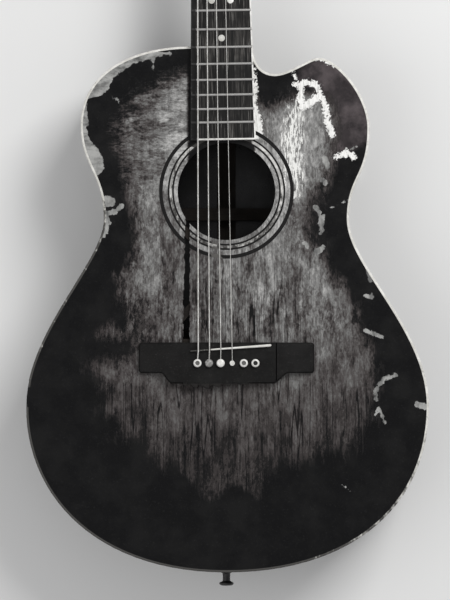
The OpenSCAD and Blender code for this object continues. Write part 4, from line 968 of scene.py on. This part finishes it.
# The heel's end follows the body's end, which the neck meets at a slight turn, and its foot clears the floor.
rows[0, :, 1] = neck_reach + rows[0, :, 0] * np.tan(np.radians(neck_turn)) + 0.05
rows[:, :, 2] += np.clip(floor_gap - moved(rows, ON_NECK)[:, :, 2], 0, None) / np.cos(tilt)
flat = np.stack([np.outer(half, x), np.repeat(y[:, None], len(x), 1), np.zeros((len(y), len(x)))], -1)
shaft = as_triangles(beam(np.concatenate([rows, flat], 1)))
loop = head_loop(-8.0)
levels = [(9, -head_t), (1.4, -head_t), (0.4, -13.6), (0, -12.8), (0, -7), (0, -0.6), (0.1, 0), (9, 0)]
head, faces = placed(slab(loop, levels), ON_NECK.inverted() @ ON_HEAD)
behind_nut = head[:, 1] < HEAD_Y - 0.5
head[:, 2] = np.where(behind_nut, np.minimum(head[:, 2], -0.2), head[:, 2])
head_edge = np.repeat([9, 1.4, 0.2, 0.4, 5, 0.4, 0.2, 9.0], len(loop))
edge = np.concatenate([np.full(len(shaft[0]), 9.0), head_edge, [20, 20]])
piece("neck_carved", rows_of(shaft, (head, faces)), ON_NECK, black_lacquer_chipped, "black_lacquer",
      stands_for=["neck"], edge=edge)


def eased(name, nodes, width, material, body="guitar"):
    """A welded copy of CAD nodes whose sharp edges are rounded over."""
    bm = bmesh.new()
    for node in nodes:
        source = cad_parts[node]
        copy = source.data.copy()
        copy.transform(source.matrix_world)
        bm.from_mesh(copy)
        bpy.data.meshes.remove(copy)
    bmesh.ops.remove_doubles(bm, verts=bm.verts, dist=2e-6)
    bmesh.ops.dissolve_limit(bm, angle_limit=np.radians(0.6), verts=bm.verts, edges=bm.edges)
    mesh = bpy.data.meshes.new(name)
    bm.to_mesh(mesh)
    bm.free()
    mesh.shade_smooth()
    mesh.materials.clear()
    mesh.materials.append(material)
    o = bpy.data.objects.new(name, mesh)
    scene.collection.objects.link(o)
    bevel = o.modifiers.new("eased", "BEVEL")
    bevel.width, bevel.segments = width / 1000, 2
    bevel.limit_method, bevel.angle_limit = "ANGLE", np.radians(38)
    bevel.harden_normals = True
    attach(o, body)
    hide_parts(*nodes)


# The heel cap is a cream plate glued under the heel.
plain_cream = finish(
    "cream_plastic", aged_plastic((0.66, 0.65, 0.60), (0.48, 0.465, 0.42), (0.06, 0.057, 0.05), False),
    Specular_IOR_Level=0.35)
eased("heel_plate", ["heel_cap"], 0.35, plain_cream)


# ---- Fingerboard. Dark hardwood glued along the neck, its bass edge, binding and fret ends there painted black
# as shade, the rest streaked and scratched pale along the grain by the strings; cream binding, 19 frets
# pressed into slots, bone dots.
neck_cos, neck_sin = np.cos(np.radians(neck_turn)), np.sin(np.radians(neck_turn))


def across_neck(g, v):
    """Millimetres from the neck's centre line, towards the treble side."""
    x = g.add("VectorMath", {0: v, 1: (neck_cos, neck_sin, 0)}, out=1, operation="DOT_PRODUCT")
    return g.minus(x, SADDLE_Y * neck_sin)


def fingerboard_look(g):
    v = g.millimetres()
    x = across_neck(g, v)
    y = g.add("VectorMath", {0: v, 1: (-neck_sin, neck_cos, 0)}, out=1, operation="DOT_PRODUCT")
    strands = g.add("CombineXYZ", {0: x, 1: g.times(y, 0.018), 2: 0.0})
    streak = g.noise(strands, 5.0, 0.78, 1.5)
    patches = g.noise(v, 4.0, 0.6, 30.0)
    # Towards the bass edge, under about -25 mm, the board is left plain near-black: painted shade.
    played_and_unshaded = g.between(g.plus(x, g.times(patches, 3.0)), -25.6, -23.4)
    lit = g.times(g.between(streak, 0.47, 0.74), g.times(played_and_unshaded, g.between(patches, 0.25, 0.6)))
    scratch = g.times(g.between(g.noise(strands, 2.0, 0.5, 0.7), 0.645, 0.70), g.times(played_and_unshaded, 0.6))
    colour = g.mix(lit, (0.006, 0.0058, 0.0056), (0.125, 0.117, 0.108))
    return {"Base Color": g.mix(scratch, colour, (0.30, 0.29, 0.27)), "Roughness": g.grey(lit, 0.5, 0.7),
            "Height": (streak, 0.00006)}


def board_binding_look(g):
    v = g.millimetres()
    cloud, specks = g.group("grime", ("Mask", "Specks"), Vector=v, Size=7.0)
    # On the bass side, past about -25 mm, the binding is painted near-black as shade.
    deep = g.minus(-25.2, across_neck(g, v))
    painted_shade = g.group("ragged", Vector=v, Distance=deep, Swing=0.8, Size=4.0, Soft=0.4)
    colour = g.mix(painted_shade, g.mix(cloud, (0.60, 0.59, 0.56), (0.80, 0.79, 0.76)), (0.008, 0.008, 0.0075))
    return {"Base Color": g.mix(g.times(specks, 0.3), colour, (0.2, 0.19, 0.18)),
            "Roughness": g.grey(painted_shade, 0.4, 0.8)}


def fret_look(g):
    v = g.millimetres()
    rub = g.noise(g.scaled(v, (1.0, 6.0, 1.0)), 4.0, 0.7, 3.0)
    # Past about -24 mm on the bass side the frets are painted dark and dull as shade. Elsewhere they are
    # tarnished in rubbed patches.
    deep = g.minus(-24.3, across_neck(g, v))
    painted_shade = g.group("ragged", Vector=v, Distance=deep, Swing=1.2, Size=3.0, Soft=0.5)
    tarnish_and_shade = g.greater(painted_shade, g.between(rub, 0.58, 0.72, 0.0, 0.5))
    return {"Base Color": g.mix(tarnish_and_shade, (0.56, 0.55, 0.53), (0.016, 0.0155, 0.015)),
            "Metallic": g.minus(1.0, tarnish_and_shade), "Roughness": g.grey(tarnish_and_shade, 0.28, 0.75)}


dress(finish("fingerboard_hardwood", fingerboard_look, Specular_IOR_Level=0.15), "fingerboard")
board_binding = finish("board_binding_plastic", board_binding_look, Specular_IOR_Level=0.3)
eased("board_binding", ["fingerboard_binding"], 0.3, board_binding)
dress(finish("fret_metal", fret_look), "frets")
eased("fingerboard_dots", ["position_dots"], 0.15, bone)
eased("nut_bone", ["nut"], 0.3, bone)

# ---- Head. A thin black veneer glued over the paddle's face, and a small black plastic plate that tapers
# towards the tip, screwed over the truss rod's end.
loop = head_loop(0.6)
veneer_levels = [(0.05, 0.02), (0, 0.2), (0, 1.2), (0.15, 1.5), (0.5, 1.6), (8, 1.6)]
piece("head_veneer", slab(loop, veneer_levels), ON_HEAD, black_lacquer_chipped, "black_lacquer",
      stands_for=["head_facing"],
      edge=np.concatenate([np.repeat([0.3, 0.3, 0.3, 0.3, 0.6, 8], len(loop)), [20, 20]]))
cover = loop_of(-12, 1.6, 12, 1.6, 12, 9, 4.5, 30, -4.5, 30, -12, 9)
cover = np.concatenate([np.linspace(a, b, 12)[:-1] for a, b in zip(cover, np.roll(cover, -1, 0))])
piece("rod_cover", slab(cover, [(0.02, 1.62), (0, 1.8), (0, 2.9), (0.25, 3.3), (0.7, 3.4)]), ON_HEAD,
      black_plastic, "black_plastic", stands_for=["truss_rod_cover"])


# ---- Metal. Steel plates, bushings, shafts and screws, plated and gone dull, with rust in patches; the
# tuners' plates are screwed under the head, and the bushings are pressed into its face.
def old_metal(bright, dull, rust):
    def look(g):
        v = g.millimetres()
        rub = g.noise(v, 5.0, 0.65, 2.6)
        spots = g.times(g.between(g.noise(v, 6.0, 0.7, 4.5), 0.54, 0.63), rust)
        return {"Base Color": g.mix(spots, g.mix(rub, dull, bright), (0.085, 0.042, 0.022)),
                "Metallic": g.minus(1.0, spots), "Roughness": g.grey(g.greater(rub, spots), 0.24, 0.78),
                "Height": (g.plus(g.times(rub, 0.02), g.times(spots, 0.05)), 0.001)}
    return look


nickel = finish("dull_nickel", old_metal((0.50, 0.49, 0.47), (0.28, 0.27, 0.26), 0.85))
brass = finish("dull_brass", old_metal((0.46, 0.36, 0.20), (0.22, 0.17, 0.10), 0.4))
for name, node, width in (("plates", "tuner_plates", 0.2), ("plate_screws", "tuner_screws", 0.15),
                          ("lid_screws", "cover_screws", 0.15), ("rod", "truss_rod", 0.3)):
    eased(name, [node], width, nickel)


def post_place(i):
    """A post's side and its place on the head: three a side from the bass, 41 mm apart and spreading."""
    side, row = (-1, i) if i < 3 else (1, 5 - i)
    y = 38 + 41 * row
    return side, side * (19 + 0.04 * y), y


def tuner_frame(i):
    """A tuner's frame: at its post's foot, mirrored on the bass side."""
    side, x, y = post_place(i)
    return ON_HEAD @ Matrix.Translation((x, y, -head_t)) @ Matrix.Diagonal((side, 1, 1, 1))


bushing = lathe([(3.05, 6.6), (4.5, 6.6), (4.6, 6.9), (4.6, 15.6), (5.9, 15.6), (6.2, 15.8), (6.2, 16.5),
                 (5.9, 16.8), (4.7, 17.4), (4.3, 17.6), (3.3, 17.6), (3.05, 17.45), (3.05, 6.6)], 40)
piece("bushings", rows_of(*[placed(bushing, tuner_frame(i)) for i in range(6)]), Matrix.Identity(4), nickel,
      "steel", stands_for=["tuner_bushings"])


# ---- Tuners. On each, a cream plastic button turns a steel worm shaft; its single-start thread drives a
# 16-tooth brass gear on the post. The thread is right-handed on the treble side and left-handed, by
# mirroring, on the bass side.
def button_look(g):
    v = g.millimetres()
    cloud, specks = g.group("grime", ("Mask", "Specks"), Vector=v, Size=5.0)
    veins = g.noise(g.scaled(v, (1.0, 0.4, 1.0)), 5.0, 0.6, 4.0)
    colour = g.mix(veins, (0.50, 0.475, 0.41), (0.66, 0.64, 0.57))
    colour = g.mix(g.times(cloud, 0.25), colour, (0.10, 0.09, 0.075))
    return {"Base Color": g.mix(g.times(specks, 0.4), colour, (0.05, 0.045, 0.04)),
            "Roughness": g.grey(cloud, 0.25, 0.5)}


def about_x(shape):
    """A turned shape laid along x."""
    points, faces = shape
    return points[:, [2, 0, 1]], faces


button_plastic = finish("button_plastic", button_look, Specular_IOR_Level=0.45)
worm_y, worm_z = -7.72, -4.5
a = np.radians(np.arange(-90, 91, 11.25))
lip = [(6.5 + 2 * np.cos(t), 3.2 * np.sin(t)) for t in a]
knob, faces = lathe([(0, -2.45), (3.0, -2.5), (5.4, -2.95), *lip, (5.4, 2.95), (3.0, 2.5), (0, 2.45)], 64)
knob_neck = about_x(lathe([(0, 10.9), (2.3, 10.9), (2.65, 11.2), (2.7, 12.0), (2.6, 13.0), (3.1, 15.0),
                           (3.6, 16.5), (0, 16.5)], 40))
button = rows_of((knob + [21.5, 0, 0], faces), knob_neck)
shaft = about_x(lathe([(0, -6.9), (1.3, -6.9), (1.5, -6.7), (1.5, -4.5), (1.8, -4.4), (1.8, 4.4), (1.5, 4.5),
                       (1.5, 6.3), (2.25, 6.3), (2.4, 6.45), (2.4, 7.15), (2.25, 7.3), (1.5, 7.3),
                       (1.5, 16.0), (0, 16.0)], 40))
# The thread is a ridge carried along a helix, shrinking to nothing at both ends.
thread_r, thread_half, thread_module = 1.7, 4.3, 0.64
x = np.linspace(-thread_half, thread_half, 260)
swell = np.clip((thread_half - abs(x)) / 0.7, 0.05, 1)
angle = 2 * np.pi * x / (np.pi * thread_module) + np.pi
ridge = []
for dx, r in ((-0.62, thread_r), (-0.5, 1.95), (-0.3, 2.95), (-0.2, 3.05), (0.2, 3.05), (0.3, 2.95),
              (0.5, 1.95), (0.62, thread_r)):
    radius = thread_r + (r - thread_r) * swell
    ridge.append(np.column_stack([x + dx * swell, radius * np.cos(angle), radius * np.sin(angle)]))
worm = rows_of(shaft, as_triangles(beam(np.stack(ridge, 1)[:, ::-1])))
for i in range(6):
    at_worm = tuner_frame(i) @ Matrix.Translation((0, worm_y, worm_z))
    n = i + 1
    piece(f"worm_shaft_{n}", worm, at_worm, nickel, "steel", body=f"button_{n}")
    piece(f"button_{n}_knob", button, at_worm, button_plastic, "cream_button",
          stands_for=[f"tuner_button_{n}"], body=f"button_{n}")
    eased(f"gear_post_{n}", [f"tuner_post_{n}"], 0.12, brass, body=f"post_{n}")


# ---- Strings. Four of six are left, wound wire dull with age, each from its ball under the bridge over the
# saddle and nut to its post. The turns on a post ride with the post.
def wire_look(g):
    """A fine wrap: a sine of the length along the wire."""
    run = g.attribute("run")
    wrap = g.math("SINE", g.times(run, 2 * np.pi / 0.32))
    stain = g.noise(g.add("CombineXYZ", {0: run, 1: 0.0, 2: 0.0}), 4.0, 0.6, 9.0)
    stain = g.between(stain, 0.35, 0.75)
    return {"Base Color": g.mix(stain, (0.68, 0.67, 0.645), (0.36, 0.35, 0.32)), "Height": (wrap, 0.00003),
            "Roughness": g.grey(stain, 0.34, 0.55)}


def tube(path, u, w, r, sides):
    """Rings of radius r along a path, each in the plane of the unit vectors u and w."""
    a = np.linspace(0, 2 * np.pi, sides, endpoint=False)[None, :, None]
    return beam(path[:, None] + r * (u[:, None] * np.cos(a) + w[:, None] * np.sin(a)))


def heading(path):
    """The unit tangent at each point of a path."""
    t = np.gradient(path, axis=0)
    return t / np.linalg.norm(t, axis=1)[:, None]


def bend_at(b, a, c, size, n=6):
    """A round bend at b on the way from a to c: a curve of three knots that starts and stops size away."""
    t = np.linspace(0, 1, n)[:, None]
    p, q = (b + size * (e - b) / np.linalg.norm(e - b) for e in (a, c))
    return (1 - t) ** 2 * p + 2 * t * (1 - t) * b + t * t * q


def in_top_frame(at, *point):
    """A point of the neck's or the head's frame in the soundboard's."""
    return np.array(ON_TOP.inverted() @ at @ Vector(point))


wound = finish("wound_wire", wire_look, Metallic=0.55)
ball_end = lathe([(0, -13), (1.7, -13), (2.0, -12.7), (2.0, -12.2), (1.6, -11.6), (1.6, -10.4), (2.0, -9.8),
                  (2.0, -9.3), (1.7, -9), (0, -9)], 24)
saddle_step, nut_step, nut_z, post_r, wire_sides, coil_sides = 10.8, 7.2, 7.9, 3.05, 16, 12
saddle_run, saddle_rise = saddle_treble - saddle_bass
for i, (gauge, turns) in enumerate(((1.35, 4), (1.07, 4), (0.81, 5), (0.61, 6))):
    r = gauge / 2
    pin_x, x, nut_x = ((i - 2.5) * step for step in (pin_step, saddle_step, nut_step))
    share = (x - saddle_bass[0]) / saddle_run
    middle, half = saddle_bass[1] + saddle_rise * share, (1.2 + 1.3 * share) / 2
    ball, entry = np.array([pin_x, -163.85, -10.35]), np.array([pin_x, -163.85, 9.4])
    rear, front = (np.array([x, middle + way * (half + 0.3), saddle_top + 0.05 + r]) for way in (-1, 1))
    nut_rear, nut_front = (in_top_frame(ON_NECK, nut_x, y, nut_z) for y in (NUT_Y - 0.4, HEAD_Y + 0.4))
    side, *post = post_place(i)
    away = np.array([nut_x, nut_z * np.sin(np.radians(head_lean))]) - post
    turn_r = post_r + r
    angle = np.arctan2(away[1], away[0]) - side * np.arccos(turn_r / np.linalg.norm(away))
    touch = in_top_frame(ON_HEAD, post[0] + turn_r * np.cos(angle), post[1] + turn_r * np.sin(angle), 5.0)
    span = np.linspace(0, 1, 60)[1:-1, None]
    path = np.vstack([
        ball, ball + [0, 0, 4], bend_at(entry, ball, rear, 0.9, 8), bend_at(rear, entry, front, 0.25),
        bend_at(front, rear, nut_rear, 0.25), front + (nut_rear - front) * (0.01 + 0.98 * span),
        bend_at(nut_rear, front, nut_front, 0.25), bend_at(nut_front, nut_rear, touch, 0.25), touch])
    way = heading(path)
    u = np.array([1.0, 0, 0]) - way * way[:, :1]
    u /= np.linalg.norm(u, axis=1)[:, None]
    wire = as_triangles(tube(path, u, np.cross(way, u), r, wire_sides))
    run = np.concatenate([[0], np.cumsum(np.linalg.norm(np.diff(path, axis=0), axis=1))])
    run = np.concatenate([np.repeat(run, wire_sides), np.zeros(len(ball_end[0]))])
    piece(f"string_{i + 1}_wire", rows_of(wire, (ball_end[0] + [pin_x, -163.0, 0], ball_end[1])), ON_TOP,
          wound, "wound_wire", stands_for=[f"string_{i + 1}"], run=run)
    # The coil winds up the post from where the wire touches it.
    t = np.linspace(0, 1, turns * 40)
    a = angle + side * 2 * np.pi * turns * t
    out = np.column_stack([np.cos(a), np.sin(a), 0 * a])
    coil = np.array([*post, 5.15]) + turn_r * out
    coil[:, 2] += (gauge + 0.05) * (0.5 + turns * t)
    winding = tube(coil, out, np.cross(heading(coil), out), r, coil_sides)
    piece(f"string_{i + 1}_coil", winding, ON_HEAD, wound, "wound_wire",
          stands_for=[f"string_winding_{i + 1}"], body=f"post_{i + 1}",
          run=np.repeat(t * 2 * np.pi * turn_r * turns, coil_sides))


# ---- Inside the body. Linings, blocks, braces and plates of bare wood, glued to the plates and walls, and
# painted brown-black as shade inside the body, with specks of dust. Grain runs along each: up the body, or
# across it.
def inner_wood(stretch):
    def look(g):
        v = g.millimetres()
        grain = g.noise(g.scaled(v, stretch), 5.0, 0.7, 1.6)
        cloud, specks = g.group("grime", ("Mask", "Specks"), Vector=v, Size=18.0)
        # The wood is painted near black: painted shade for the dark inside of the body.
        colour = g.mix(grain, (0.010, 0.0085, 0.0075), (0.040, 0.034, 0.029))
        colour = g.mix(g.times(cloud, 0.6), colour, (0.012, 0.011, 0.0105))
        return {"Base Color": g.mix(g.times(specks, 0.2), colour, (0.07, 0.065, 0.06)),
                "Height": (grain, 0.0001)}
    return look


for name, stretch, nodes in (
        ("inner_wood_lengthwise", (1.0, 0.06, 1.0),
         ("top_lining", "back_lining", "x_brace_bass", "x_brace_treble", "soundhole_braces", "back_strip",
          "neck_block", "tail_block")),
        ("inner_wood_crosswise", (0.06, 1.0, 1.0),
         ("tone_bars", "finger_braces", "upper_brace", "bridge_plate", "back_braces"))):
    dress(finish(name, inner_wood(stretch), Roughness=0.9, Specular_IOR_Level=0.1), *nodes)

# ---- The shown object's box, in metres.
low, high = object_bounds()
